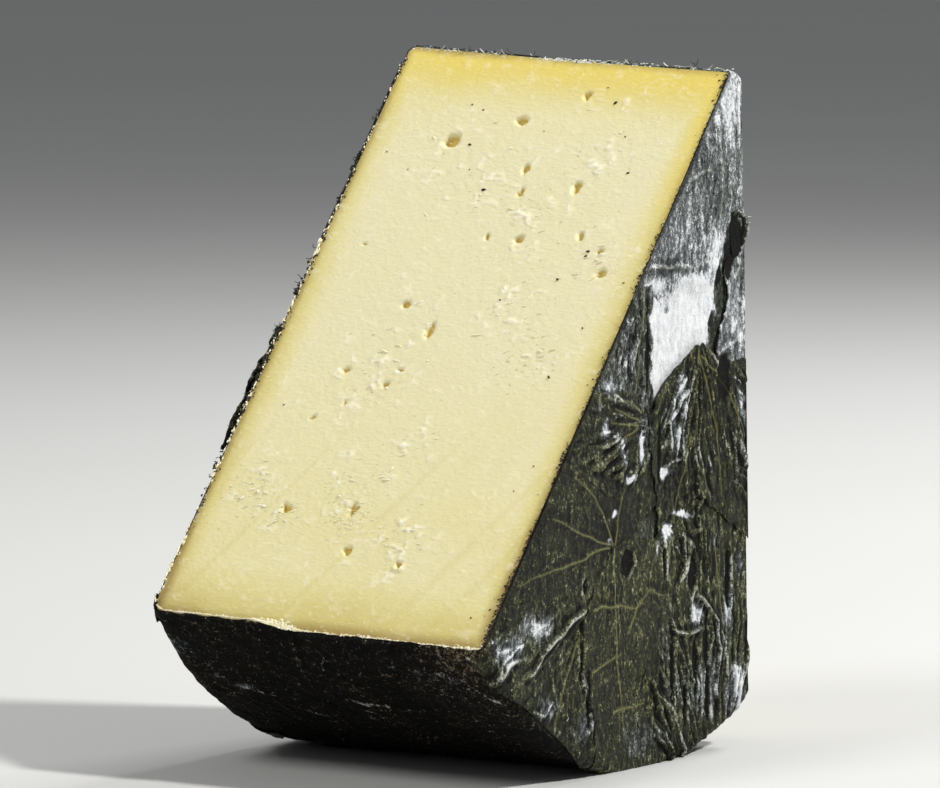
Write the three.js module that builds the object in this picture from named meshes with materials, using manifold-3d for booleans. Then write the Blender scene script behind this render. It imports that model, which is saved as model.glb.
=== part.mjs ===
// A wedge of a small wheel of cheese that is wrapped in nettle leaves, in millimetres.
// X runs along the wheel's axis, Y leads away from the leaning cut face and Z is up.
// The wheel stands on its rim. Two flat knife cuts meet near the top of the rim, so the
// wedge is as wide as the wheel is thick and rests on the arc of rim left between them.
// Shapes are worked out around the wheel's centre, and the whole is moved down at the end
// so that the origin is the middle of the footprint, on the surface it rests on.

import * as THREE from "three";
import { mergeVertices } from "three/addons/utils/BufferGeometryUtils.js";
import Module from "manifold-3d";

const wasm = await Module();
wasm.setup();

// The paste, which is the wheel without its leaves.
const PASTE_RADIUS = 71.2;
const PASTE_HALF_WIDTH = 37.2;
const LEFT_EDGE_ROUND = 4.5;
const RIGHT_EDGE_ROUND = 1.6;
const EDGE_STEPS = 4;

// The leaf wrap: an inner layer pressed on the paste, and single leaves over it.
const GAP = 0.3;
const COAT_THICKNESS = 0.9;
const RIM_COAT_THICKNESS = 1.5;
const LEAF_THICKNESS = 0.8;
const LEAF_SEAT = GAP + COAT_THICKNESS + 0.45;
const WAVE_HEIGHT = 0.15;
const RIM_WAVE_HEIGHT = 0.35;

// The knife cuts, by points of each on the right flat face: away from the viewer, and up.
const FRONT_TOP = new THREE.Vector2(32.4, 65.4);
const FRONT_BOTTOM = new THREE.Vector2(-58.4, -43.8);
const BACK_TOP = new THREE.Vector2(35.1, 64.0);
const BACK_BOTTOM = new THREE.Vector2(37.5, -62.6);
const FRONT_CUT_SKEW = 2.6; // how much nearer the cut is at the left face

// The flat spot on the rim that the wedge stands on.
const REST_PLANE = -72.4;
const REST_CALM_WIDTH = 15;

const KNIFE_BLOCK = 400;
const OVERSIZE = 12;

const PASTE_COLOUR = 0xe6dcab;
const COAT_COLOUR = 0x8d9186;
const RIM_COLOUR = 0x2b2c22;
const LEAF_COLOUR = 0x34382a;
const TOP_LEAF_COLOUR = 0x767b74;

function seededRandom(seed) {
  let state = seed;
  return () => {
    state = (state * 1664525 + 1013904223) % 4294967296;
    return state / 4294967296;
  };
}

// Solids from closed geometries, and back.

function solidOf(geometry) {
  const bare = new THREE.BufferGeometry();
  bare.setAttribute("position", geometry.getAttribute("position"));
  if (geometry.index) bare.setIndex(geometry.index);
  const merged = mergeVertices(bare, 1e-4);
  return new wasm.Manifold(
    new wasm.Mesh({
      numProp: 3,
      vertProperties: new Float32Array(merged.attributes.position.array),
      triVerts: new Uint32Array(merged.index.array),
    }),
  );
}

function geometryOf(solid) {
  const mesh = solid.getMesh();
  const geometry = new THREE.BufferGeometry();
  geometry.setAttribute("position", new THREE.BufferAttribute(mesh.vertProperties, 3));
  geometry.setIndex(new THREE.BufferAttribute(mesh.triVerts, 1));
  geometry.computeVertexNormals();
  return geometry;
}

function largestBody(solid) {
  const bodies = solid.decompose();
  return bodies.reduce((best, body) => (body.volume() > best.volume() ? body : best));
}

// The waste that a knife cut takes off: a block on the far side of a plane.
function wasteBlock(point, normal) {
  const block = new THREE.BoxGeometry(KNIFE_BLOCK, KNIFE_BLOCK, KNIFE_BLOCK);
  block.translate(0, 0, KNIFE_BLOCK / 2);
  block.applyQuaternion(
    new THREE.Quaternion().setFromUnitVectors(new THREE.Vector3(0, 0, 1), normal),
  );
  block.translate(point.x, point.y, point.z);
  return solidOf(block);
}

const outerHalfWidth = PASTE_HALF_WIDTH + LEAF_SEAT + LEAF_THICKNESS;
const frontSlope = (FRONT_TOP.x - FRONT_BOTTOM.x) / (FRONT_TOP.y - FRONT_BOTTOM.y);
const frontTurn = FRONT_CUT_SKEW / (2 * outerHalfWidth);
const frontNormal = new THREE.Vector3(frontTurn, -1, frontSlope).normalize();
const frontPoint = new THREE.Vector3(outerHalfWidth, FRONT_TOP.x, FRONT_TOP.y);
const backSlope = (BACK_TOP.x - BACK_BOTTOM.x) / (BACK_TOP.y - BACK_BOTTOM.y);
const backNormal = new THREE.Vector3(0, 1, -backSlope).normalize();
const backPoint = new THREE.Vector3(0, BACK_TOP.x, BACK_TOP.y);

const frontWaste = wasteBlock(frontPoint, frontNormal);
const backWaste = wasteBlock(backPoint, backNormal);
const belowRest = wasteBlock(
  new THREE.Vector3(0, 0, REST_PLANE),
  new THREE.Vector3(0, 0, -1),
);

const cutOut = (solid) => solid.subtract(frontWaste).subtract(backWaste);

// The paste: a round wheel with softened edges, cut, and pitted where the cut shows.

function wheelSolid() {
  const segments = 96;
  const profile = [new THREE.Vector2(0, -PASTE_HALF_WIDTH)];
  for (let i = 0; i <= EDGE_STEPS; i++) {
    const turn = (i / EDGE_STEPS) * (Math.PI / 2);
    profile.push(
      new THREE.Vector2(
        PASTE_RADIUS - LEFT_EDGE_ROUND * (1 - Math.sin(turn)),
        -PASTE_HALF_WIDTH + LEFT_EDGE_ROUND * (1 - Math.cos(turn)),
      ),
    );
  }
  for (let i = 0; i <= EDGE_STEPS; i++) {
    const turn = (i / EDGE_STEPS) * (Math.PI / 2);
    profile.push(
      new THREE.Vector2(
        PASTE_RADIUS - RIGHT_EDGE_ROUND * (1 - Math.cos(turn)),
        PASTE_HALF_WIDTH - RIGHT_EDGE_ROUND * (1 - Math.sin(turn)),
      ),
    );
  }
  profile.push(new THREE.Vector2(0, PASTE_HALF_WIDTH));
  const wheel = new THREE.LatheGeometry(profile, segments);
  wheel.rotateZ(-Math.PI / 2);
  return solidOf(wheel);
}

// A pit in a cut face, by its place across the wheel and down the slope from the cut's top,
// its width and its height. Its sides are uneven.
function pit(across, down, width, height, point, normal, random) {
  const hole = new THREE.IcosahedronGeometry(0.5, 0);
  hole.rotateX(random() * Math.PI);
  hole.scale(width, height, PIT_DEPTH_SHARE * (width + height));
  hole.rotateZ((random() - 0.5) * 0.8);
  const along = new THREE.Vector3(0, -normal.z, normal.y);
  along.multiplyScalar(Math.sign(-along.z) || 1).normalize();
  const frame = new THREE.Matrix4().makeBasis(
    new THREE.Vector3().crossVectors(along, normal).normalize(),
    along,
    normal,
  );
  hole.applyMatrix4(frame);
  const onPlane = new THREE.Vector3(across, point.y, point.z);
  onPlane.y += ((across - point.x) * normal.x) / -normal.y;
  onPlane.addScaledVector(along, down);
  hole.translate(onPlane.x, onPlane.y, onPlane.z);
  return solidOf(hole);
}

const PIT_DEPTH_SHARE = 0.7;

// The larger pits of the leaning face: across, down, width and height.
const FRONT_PITS = [
  [-18.8, 21.2, 4.0, 3.8],
  [-4.3, 15.6, 2.7, 2.8],
  [8.4, 8.6, 1.8, 1.8],
  [1.6, 27.7, 1.6, 2.8],
  [2.9, 33.2, 1.4, 2.8],
  [15.3, 31.8, 2.0, 3.3],
  [7.4, 45.1, 2.0, 2.4],
  [21.3, 43.8, 1.5, 1.9],
  [29.3, 52.6, 2.3, 2.8],
  [-12.3, 62.2, 3.2, 1.9],
  [-3.8, 68.2, 2.0, 4.7],
  [-19.2, 78.6, 2.3, 1.4],
  [-8.6, 81.7, 1.5, 1.9],
  [-18.6, 112.4, 2.3, 2.8],
  [-3.2, 111.6, 1.8, 3.3],
  [-0.4, 121.1, 1.8, 2.1],
  [12.7, 123.7, 1.5, 1.9],
];
const BACK_PIT_COUNT = 14;

function cheesePaste() {
  let paste = cutOut(wheelSolid());
  const random = seededRandom(11);
  for (const [across, down, width, height] of FRONT_PITS)
    paste = paste.subtract(pit(across, down, width, height, frontPoint, frontNormal, random));
  for (let i = 0; i < BACK_PIT_COUNT; i++) {
    const across = (random() - 0.5) * 1.5 * PASTE_HALF_WIDTH;
    const down = 12 + (i + random()) * (100 / BACK_PIT_COUNT);
    const width = 1.5 + 2 * random();
    const height = 1.5 + 2 * random();
    paste = paste.subtract(pit(across, down, width, height, backPoint, backNormal, random));
  }
  return paste;
}

// Evenly spaced places from one end of a stretch to the other.
function stations(from, to, spacing) {
  const count = Math.max(1, Math.round((to - from) / spacing));
  return Array.from({ length: count + 1 }, (_, i) => THREE.MathUtils.lerp(from, to, i / count));
}

// A wavy sheet on a grid: both faces have the same triangles. place turns the two
// directions along the sheet and the height over the paste into a point.
function sheetSolid(us, vs, lower, upper, place) {
  const columns = us.length - 1;
  const rows = vs.length - 1;
  const positions = [];
  const faces = [];
  for (const height of [lower, upper])
    for (const v of vs)
      for (const u of us) positions.push(...place(u, v, height(u, v)).toArray());
  const layer = (columns + 1) * (rows + 1);
  const at = (i, j, top) => top * layer + j * (columns + 1) + i;
  for (let j = 0; j < rows; j++)
    for (let i = 0; i < columns; i++) {
      const corners = (top) => [at(i, j, top), at(i + 1, j, top), at(i + 1, j + 1, top), at(i, j + 1, top)];
      const [a, b, c, d] = corners(1);
      const [p, q, r, s] = corners(0);
      faces.push(a, b, c, a, c, d, p, r, q, p, s, r);
    }
  const wall = (i0, j0, i1, j1) => {
    const [a, b] = [at(i0, j0, 0), at(i1, j1, 0)];
    const [c, d] = [at(i1, j1, 1), at(i0, j0, 1)];
    faces.push(a, b, c, a, c, d);
  };
  for (let i = 0; i < columns; i++) {
    wall(i, 0, i + 1, 0);
    wall(i + 1, rows, i, rows);
  }
  for (let j = 0; j < rows; j++) {
    wall(columns, j, columns, j + 1);
    wall(0, j + 1, 0, j);
  }
  const geometry = new THREE.BufferGeometry();
  geometry.setAttribute("position", new THREE.Float32BufferAttribute(positions, 3));
  geometry.setIndex(faces);
  return solidOf(geometry);
}

// Points on the flat faces, by the distance away from the viewer, the height and the
// distance outwards from the paste. The left face is seen from its own outside.
const onRightFace = (u, v, w) => new THREE.Vector3(PASTE_HALF_WIDTH + w, u, v);
const onLeftFace = (u, v, w) => new THREE.Vector3(-PASTE_HALF_WIDTH - w, -u, v);

// The wheel's profile from the left flat face over the rim to the right one, by the
// distance along it, with its outward direction.
const leftArc = (LEFT_EDGE_ROUND * Math.PI) / 2;
const rightArc = (RIGHT_EDGE_ROUND * Math.PI) / 2;
const rimStraight = 2 * PASTE_HALF_WIDTH - LEFT_EDGE_ROUND - RIGHT_EDGE_ROUND;
const profileLength = leftArc + rimStraight + rightArc;

function profileAt(distance) {
  if (distance < leftArc) {
    const turn = distance / LEFT_EDGE_ROUND;
    return {
      x: -PASTE_HALF_WIDTH + LEFT_EDGE_ROUND * (1 - Math.cos(turn)),
      radius: PASTE_RADIUS - LEFT_EDGE_ROUND * (1 - Math.sin(turn)),
      outX: -Math.cos(turn),
      outRadius: Math.sin(turn),
    };
  }
  if (distance < leftArc + rimStraight) {
    const x = -PASTE_HALF_WIDTH + LEFT_EDGE_ROUND + distance - leftArc;
    return { x, radius: PASTE_RADIUS, outX: 0, outRadius: 1 };
  }
  const turn = (distance - leftArc - rimStraight) / RIGHT_EDGE_ROUND;
  return {
    x: PASTE_HALF_WIDTH - RIGHT_EDGE_ROUND * (1 - Math.sin(turn)),
    radius: PASTE_RADIUS - RIGHT_EDGE_ROUND * (1 - Math.cos(turn)),
    outX: Math.sin(turn),
    outRadius: Math.cos(turn),
  };
}

// Places along the profile: close together round its two edges.
function profileStations(cell) {
  const rightStart = leftArc + rimStraight;
  return [
    ...stations(0, leftArc, leftArc / EDGE_STEPS),
    ...stations(leftArc, rightStart, cell).slice(1, -1),
    ...stations(rightStart, profileLength, rightArc / EDGE_STEPS),
  ];
}

// Round the rim, u is measured along the paste's rim from its lowest point, away from the
// viewer, and v along the profile.
function onRim(u, v, w) {
  const at = profileAt(v);
  const turn = u / PASTE_RADIUS;
  const radius = at.radius + w * at.outRadius;
  return new THREE.Vector3(
    at.x + w * at.outX,
    radius * Math.sin(turn),
    -radius * Math.cos(turn),
  );
}

// Low waves of the pressed leaves, between 0 and 1.
function wave(u, v, pitch) {
  const first = Math.sin(u / pitch + 1.7 * Math.sin((0.6 * v) / pitch));
  const second = Math.sin((0.9 * v) / pitch + 2 + 1.3 * Math.sin((0.7 * u) / pitch + 1));
  return 0.5 + 0.25 * (first + second);
}

// The inner layer.

// A flat face ends where the wheel's edge begins to turn towards the rim.
function flatDisc(edgeRound) {
  const reach = PASTE_RADIUS - edgeRound - GAP;
  const disc = new THREE.CylinderGeometry(reach, reach, KNIFE_BLOCK, 150);
  disc.rotateZ(Math.PI / 2);
  return solidOf(disc);
}

const rightDisc = flatDisc(RIGHT_EDGE_ROUND);
const leftDisc = flatDisc(LEFT_EDGE_ROUND);

function flatCoat(place, disc) {
  const lines = stations(-PASTE_RADIUS, PASTE_RADIUS, 9);
  const sheet = sheetSolid(
    lines,
    lines,
    () => GAP,
    (u, v) => GAP + COAT_THICKNESS + WAVE_HEIGHT * (2 * wave(u, v, 7) - 1),
    place,
  );
  return largestBody(cutOut(sheet.intersect(disc)));
}

function rimHeight(u, v) {
  const calm = THREE.MathUtils.smoothstep(Math.abs(u), REST_CALM_WIDTH, REST_CALM_WIDTH + 8);
  return GAP + RIM_COAT_THICKNESS + RIM_WAVE_HEIGHT * (1 + calm * (2 * wave(u, v, 5) - 1));
}

function rimCoat(ends, cell) {
  const sheet = sheetSolid(
    stations(...ends, cell),
    profileStations(cell),
    () => GAP,
    rimHeight,
    onRim,
  );
  return largestBody(cutOut(sheet).subtract(belowRest));
}

// Leaf outlines on the flat faces.

// A smooth closed outline through a few points, with the coarse teeth of a nettle leaf.
const TOOTH_PITCH = 9;
const TOOTH_DEPTH = 0.9;

function toothed(curve) {
  const teeth = Math.round(curve.getLength() / TOOTH_PITCH);
  const steps = teeth * 2;
  const points = [];
  for (let i = 0; i < steps; i++) {
    const at = curve.getPointAt(i / steps);
    const along = curve.getTangentAt(i / steps);
    const depth = (i % 2 ? 1 : -1) * TOOTH_DEPTH * 0.5;
    points.push(new THREE.Vector2(at.x + along.y * depth, at.y - along.x * depth));
  }
  return points;
}

function outlineThrough(pairs) {
  const points = pairs.map(([u, v]) => new THREE.Vector3(u, v, 0));
  return toothed(new THREE.CatmullRomCurve3(points, true, "centripetal"));
}

// A whole nettle leaf from its base to its tip: heart-shaped, widest near the base.
function wholeLeaf(base, tip, width) {
  const start = new THREE.Vector2(...base);
  const axis = new THREE.Vector2(...tip).sub(start);
  const side = new THREE.Vector2(-axis.y, axis.x).normalize();
  const half = [-0.05, 0.02, 0.14, 0.32, 0.52, 0.74, 0.9].map((t, i) => [
    t,
    [0.16, 0.34, 0.48, 0.5, 0.4, 0.23, 0.09][i] * width,
  ]);
  const pointAt = (t, offset) => {
    const p = start.clone().addScaledVector(axis, t).addScaledVector(side, offset);
    return [p.x, p.y];
  };
  return outlineThrough([
    ...half.map(([t, offset]) => pointAt(t, offset)),
    pointAt(1, 0),
    ...half.reverse().map(([t, offset]) => pointAt(t, -offset)),
    pointAt(0.04, 0),
  ]);
}

function outlinePrism(outline, place, grown) {
  const area = THREE.ShapeUtils.area(outline);
  const turned = area < 0 ? [...outline].reverse() : outline;
  const count = turned.length;
  const points = turned.map((p, i) => {
    const before = turned[(i + count - 1) % count];
    const after = turned[(i + 1) % count];
    const along = after.clone().sub(before).normalize();
    return new THREE.Vector2(p.x + along.y * grown, p.y - along.x * grown);
  });
  const prism = new THREE.ExtrudeGeometry(new THREE.Shape(points), {
    depth: OVERSIZE,
    bevelEnabled: false,
    curveSegments: 1,
  });
  const position = prism.getAttribute("position");
  for (let i = 0; i < position.count; i++) {
    const p = place(position.getX(i), position.getY(i), position.getZ(i) - OVERSIZE / 4);
    position.setXYZ(i, p.x, p.y, p.z);
  }
  return solidOf(prism);
}

// Creases that stand up from the leaves of the right face: height, half width and line.
const CREASES = [
  { height: 1.0, width: 2.4, line: [[-21.5, -38.1], [-33.4, -43.6], [-46.1, -51.5]] },
  { height: 1.2, width: 2.2, line: [[15.5, -39.2], [24, -44], [26.1, -52.7], [25.8, -66.6]] },
  { height: 0.9, width: 2.2, line: [[7.6, -43], [10.5, -47], [22.1, -47.6]] },
  { height: 0.8, width: 2.0, line: [[12.5, -25.1], [13.3, -34], [11.2, -37.2]] },
  { height: 1.0, width: 2.2, line: [[17, 7], [10, -2], [6.9, -12.1]] },
  { height: 0.9, width: 2.4, line: [[18, 6], [22, -4], [24, -16]] },
  { height: 0.8, width: 2.0, line: [[9, -47], [12, -53], [15.6, -58.9]] },
];

function distanceToLine(u, v, line) {
  let nearest = Infinity;
  for (let i = 1; i < line.length; i++) {
    const segment = new THREE.Line3(
      new THREE.Vector3(...line[i - 1], 0),
      new THREE.Vector3(...line[i], 0),
    );
    const foot = segment.closestPointToPoint(new THREE.Vector3(u, v, 0), true, new THREE.Vector3());
    nearest = Math.min(nearest, foot.distanceTo(new THREE.Vector3(u, v, 0)));
  }
  return nearest;
}

function rightRelief(u, v) {
  let height = 0.35 * wave(u, v, 3.5);
  for (const crease of CREASES) {
    const away = distanceToLine(u, v, crease.line) / crease.width;
    height = Math.max(height, crease.height * Math.max(0, 1 - away));
  }
  return height;
}

const leftRelief = (u, v) => 0.7 * wave(u, v, 4);

function leafSolid(outline, cover, { place, relief, cell, disc }) {
  const box = new THREE.Box2().setFromPoints(outline);
  const sheet = sheetSolid(
    stations(box.min.x - 1, box.max.x + 1, cell),
    stations(box.min.y - 1, box.max.y + 1, cell),
    (u, v) => LEAF_SEAT + relief(u, v),
    (u, v) => LEAF_SEAT + LEAF_THICKNESS + relief(u, v),
    place,
  );
  let leaf = sheet.intersect(disc).intersect(outlinePrism(outline, place, 0));
  for (const above of cover) leaf = leaf.subtract(outlinePrism(above, place, GAP));
  return largestBody(cutOut(leaf));
}

// Leaves of the right face, topmost first.
const RIGHT_LEAVES = {
  nettle_leaf_pleated: outlineThrough([
    [17.8, 10], [10, 6], [3, 1], [-0.5, -6], [1, -13], [2.5, -20], [4, -27], [9, -25],
    [17, -20.5], [25, -24], [33, -28], [42, -30], [42, 2], [28, 6.5],
  ]),
  nettle_leaf_top: outlineThrough([
    [30, 76], [46, 66], [46, 26], [33, 26], [27, 24], [20, 17], [13, 21], [7, 16],
    [2, 22], [-4, 20], [-12, 26], [6, 50],
  ]),
  nettle_leaf_lower_middle: outlineThrough([
    [-13, -28], [-5, -27], [3, -29], [5.5, -37], [6, -44], [4, -52], [1, -60], [4, -76],
    [-18, -76], [-20, -62], [-24.5, -50], [-25, -42], [-20, -36],
  ]),
  nettle_leaf_fanned: outlineThrough([
    [-12, -28], [-5, -26], [0.5, -20], [0, -14], [-6, -16], [-14, -14], [-24, -10],
    [-42, -6], [-64, -28], [-52, -38], [-36, -37], [-22, -34],
  ]),
  nettle_leaf_lower_right: outlineThrough([
    [5, -28], [17, -21], [25, -25], [33, -29], [44, -31], [46, -62], [26, -76], [2, -76],
    [-1, -62], [3, -50], [6, -40],
  ]),
  nettle_leaf_lower_left: outlineThrough([
    [-66, -34], [-52, -38], [-36, -38], [-22, -35], [-22, -40], [-25, -50], [-20, -62],
    [-18, -76], [-46, -76], [-70, -52],
  ]),
  nettle_leaf_side_pleats: outlineThrough([
    [-24, 2], [-12, 3], [-3, -1], [-1, -7], [-3, -15], [-14, -15], [-24, -10], [-38, -8],
  ]),
  nettle_leaf_strip: outlineThrough([
    [-3, 24], [0, 14], [0.4, 5], [-2.5, -2], [-12, 3], [-28, 2], [-14, 18],
  ]),
  nettle_leaf_back_edge: outlineThrough([
    [32, 25], [28.5, 16], [26, 11], [29, 6.5], [44, 3], [44, 26],
  ]),
};

// Leaves of the left face, topmost first. There u grows towards the viewer.
const LEFT_LEAVES = {
  nettle_leaf_left_upper: wholeLeaf([-30, 60], [2, 6], 36),
  nettle_leaf_left_middle: wholeLeaf([-32, 2], [33, -24], 38),
  nettle_leaf_left_front: wholeLeaf([8, -30], [58, -42], 34),
  nettle_leaf_left_back: wholeLeaf([-26, -14], [-18, -72], 38),
  nettle_leaf_left_lower: wholeLeaf([-6, -34], [28, -74], 36),
};

function faceLeaves(outlines, face) {
  const solids = {};
  const cover = [];
  for (const [name, outline] of Object.entries(outlines)) {
    solids[name] = leafSolid(outline, cover, face);
    cover.push(outline);
  }
  return solids;
}

// Loose bits of leaf that stand away from the wrap: a lifted lip on the right face at the
// back cut, and a torn flap along the left edge of the leaning face.

function backLip() {
  const lift = (u) => LEAF_SEAT + LEAF_THICKNESS + 0.6 + 0.08 * (u - 31);
  const sheet = sheetSolid(
    stations(31, 38.5, 1.8),
    stations(27, 37, 1.8),
    (u, v) => lift(u) + 0.15 * wave(u, v, 1.5),
    (u, v) => lift(u) + 0.15 * wave(u, v, 1.5) + 0.6,
    onRightFace,
  );
  const outline = outlineThrough([[32, 27.5], [35, 28], [36.6, 31], [36.4, 35], [33, 36], [31.6, 32]]);
  return largestBody(sheet.intersect(outlinePrism(outline, onRightFace, 0)));
}

function tornFlap() {
  const cutLine = (v) => -(FRONT_TOP.x - FRONT_CUT_SKEW + (v - FRONT_TOP.y) * frontSlope);
  const lift = (u, v) => {
    const nearness = THREE.MathUtils.clamp(1 + (u - cutLine(v)) / 6, 0, 1.3);
    return LEAF_SEAT + 0.4 + 0.9 * nearness * nearness;
  };
  const inset = (v, far) => cutLine(v) - far;
  const sheet = sheetSolid(
    stations(6, 42, 2.5),
    stations(-14, 16, 2.5),
    (u, v) => lift(u, v) + 0.3 * wave(u, v, 2),
    (u, v) => lift(u, v) + 0.3 * wave(u, v, 2) + 0.7,
    onLeftFace,
  );
  const outline = outlineThrough([
    [inset(12, -0.6), 12], [inset(9, 0.6), 9], [inset(4, -0.4), 4], [inset(-1, 0.3), -1],
    [inset(-6, -0.4), -6], [inset(-11, 0.5), -11], [inset(-9, 3), -9], [inset(-3, 4.5), -3],
    [inset(3, 5), 3], [inset(9, 4), 9], [inset(12.5, 2.5), 12.5],
  ]);
  return largestBody(sheet.intersect(outlinePrism(outline, onLeftFace, 0)));
}

// The object.

function leafMaterial(colour) {
  return new THREE.MeshStandardMaterial({ color: colour, roughness: 0.72, metalness: 0 });
}

function named(name, solid, material) {
  const mesh = new THREE.Mesh(geometryOf(solid), material);
  mesh.name = name;
  return mesh;
}

const wedge = new THREE.Group();

const pasteMaterial = new THREE.MeshStandardMaterial({
  color: PASTE_COLOUR,
  roughness: 0.55,
  metalness: 0,
});
wedge.add(named("cheese_paste", cheesePaste(), pasteMaterial));

const wrap = new THREE.Group();
const halfTurn = PASTE_RADIUS * Math.PI;
const rimEnds = [-70, 50];
const topEnds = [0.82 * halfTurn, 0.88 * halfTurn];
wrap.add(named("leaf_coat_right", flatCoat(onRightFace, rightDisc), leafMaterial(COAT_COLOUR)));
wrap.add(named("leaf_coat_left", flatCoat(onLeftFace, leftDisc), leafMaterial(COAT_COLOUR)));
wrap.add(named("leaf_coat_rim", rimCoat(rimEnds, 6), leafMaterial(RIM_COLOUR)));
wrap.add(named("leaf_coat_top", rimCoat(topEnds, 3), leafMaterial(RIM_COLOUR)));

const rightFace = { place: onRightFace, relief: rightRelief, cell: 5, disc: rightDisc };
const rightLeaves = faceLeaves(RIGHT_LEAVES, rightFace);
for (const [name, solid] of Object.entries(rightLeaves)) {
  const colour = name === "nettle_leaf_top" ? TOP_LEAF_COLOUR : LEAF_COLOUR;
  wrap.add(named(name, solid, leafMaterial(colour)));
}
const leftFace = { place: onLeftFace, relief: leftRelief, cell: 8, disc: leftDisc };
const leftLeaves = faceLeaves(LEFT_LEAVES, leftFace);
for (const [name, solid] of Object.entries(leftLeaves))
  wrap.add(named(name, solid, leafMaterial(LEAF_COLOUR)));
wrap.add(named("leaf_lip_back_edge", backLip(), leafMaterial(LEAF_COLOUR)));
wrap.add(named("leaf_flap_left_edge", tornFlap(), leafMaterial(RIM_COLOUR)));
wedge.add(wrap);

// Stand the wedge on the origin.
const whole = new THREE.Box3().setFromObject(wedge);
const middle = whole.getCenter(new THREE.Vector3());
wedge.position.set(-middle.x, -middle.y, -whole.min.z);

const object = new THREE.Group();
object.add(wedge);

export default object;
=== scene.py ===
import math

import bpy
import numpy as np
from mathutils import Matrix, Vector
from mathutils.geometry import delaunay_2d_cdt


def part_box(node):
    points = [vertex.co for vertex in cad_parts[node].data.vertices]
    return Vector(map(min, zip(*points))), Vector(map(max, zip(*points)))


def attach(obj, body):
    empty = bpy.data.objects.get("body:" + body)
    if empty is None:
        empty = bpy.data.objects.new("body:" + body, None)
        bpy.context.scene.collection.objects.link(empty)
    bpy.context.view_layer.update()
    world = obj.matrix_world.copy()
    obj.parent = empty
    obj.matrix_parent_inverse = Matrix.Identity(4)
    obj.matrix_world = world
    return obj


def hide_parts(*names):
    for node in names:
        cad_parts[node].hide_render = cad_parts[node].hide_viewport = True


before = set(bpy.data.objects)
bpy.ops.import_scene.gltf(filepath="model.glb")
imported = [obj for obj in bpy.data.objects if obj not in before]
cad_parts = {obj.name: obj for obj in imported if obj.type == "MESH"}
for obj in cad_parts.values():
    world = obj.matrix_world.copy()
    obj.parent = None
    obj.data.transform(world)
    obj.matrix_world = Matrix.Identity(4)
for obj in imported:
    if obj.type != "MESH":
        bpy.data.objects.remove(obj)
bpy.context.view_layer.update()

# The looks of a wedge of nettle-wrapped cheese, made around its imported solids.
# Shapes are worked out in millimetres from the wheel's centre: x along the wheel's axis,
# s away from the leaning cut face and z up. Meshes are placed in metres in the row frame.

BODY = "root"
MM = 0.001

# The paste reaches nearly to the outside, under a thin wrap of leaves.
SOLID_RADIUS = 71.2
PASTE_RADIUS = 72.55
PASTE_HALF = 38.8
LEFT_ROUND = 4.5
TOP_ROUND = 1.6
RIGHT_ROUND = 0.9
COAT_LOW = 0.05
COAT_TOP = 0.25
LEAF_SEAT = 0.34
LAYER_STEP = 0.1
LEAF_THICKNESS = 0.22
OUTER_HALF = 39.65
REST_PLANE = -72.4

# The knife cuts, as lines on the right face: s and z of their ends.
FRONT_TOP = (32.4, 65.4)
FRONT_BOTTOM = (-58.4, -43.8)
BACK_TOP = (35.1, 64.0)
BACK_BOTTOM = (37.5, -62.6)
FRONT_SKEW = 2.6

FRONT_SLOPE = (FRONT_TOP[0] - FRONT_BOTTOM[0]) / (FRONT_TOP[1] - FRONT_BOTTOM[1])
FRONT_TURN = FRONT_SKEW / (2 * OUTER_HALF)
FRONT_START = FRONT_TOP[0] - FRONT_SLOPE * FRONT_TOP[1]
BACK_SLOPE = (BACK_TOP[0] - BACK_BOTTOM[0]) / (BACK_TOP[1] - BACK_BOTTOM[1])
BACK_START = BACK_TOP[0] - BACK_SLOPE * BACK_TOP[1]
SLOPE_LENGTH = math.hypot(1, FRONT_SLOPE)


def front_s(x, z):
    """Where the leaning cut lies at a place across the wheel and a height."""
    return FRONT_START + FRONT_SLOPE * z + FRONT_TURN * (x - OUTER_HALF)


def back_s(z):
    return BACK_START + BACK_SLOPE * z


def front_angles(x, radius):
    """Angles from straight down where the leaning cut meets a circle: at the bottom and top."""
    reach = FRONT_START + FRONT_TURN * (x - OUTER_HALF)
    swing = np.arcsin(reach / (radius * SLOPE_LENGTH))
    lean = math.atan(FRONT_SLOPE)
    return swing - lean, math.pi - swing - lean


def back_angles(radius):
    swing = np.arcsin(BACK_START / (radius * math.hypot(1, BACK_SLOPE)))
    lean = math.atan(BACK_SLOPE)
    return swing - lean, math.pi - swing - lean


def front_point(x, down, lift):
    """A point of the leaning cut, lifted off it."""
    z = FRONT_TOP[1] - down / SLOPE_LENGTH
    s = front_s(x, z)
    return np.stack([x, s - lift / SLOPE_LENGTH, z + lift * FRONT_SLOPE / SLOPE_LENGTH], -1)


def back_point(x, down, lift):
    """A point of the upright cut at the back, lifted off it."""
    z = BACK_TOP[1] - down
    return np.stack([x, back_s(z) + lift, z + 0 * x], -1)


def wheel_centre():
    """The wheel's centre in the row frame, from the box of the paste's solid."""
    low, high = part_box("cheese_paste")
    bottom = back_angles(SOLID_RADIUS)[0]
    return (
        0.5 * (low[0] + high[0]) / MM,
        high[1] / MM - SOLID_RADIUS * math.sin(bottom),
        low[2] / MM + SOLID_RADIUS,
    )


CENTRE = np.array(wheel_centre())


# Noise that is the same each run, from large odd numbers that scatter a place's bits.
SPREAD_U = 374761393
SPREAD_V = 668265263
SPREAD_SEED = 974634777
SPREAD_AGAIN = 1274126177
WORD = 0xFFFFFFFF
SHORT_WORD = 0xFFFFFF


def hashed(i, j, seed):
    """A number from 0 to 1 that belongs to a whole-numbered place."""
    n = (i * SPREAD_U + j * SPREAD_V + seed * SPREAD_SEED) & WORD
    n = ((n ^ (n >> 13)) * SPREAD_AGAIN) & WORD
    return ((n ^ (n >> 16)) & SHORT_WORD) / SHORT_WORD


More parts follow.
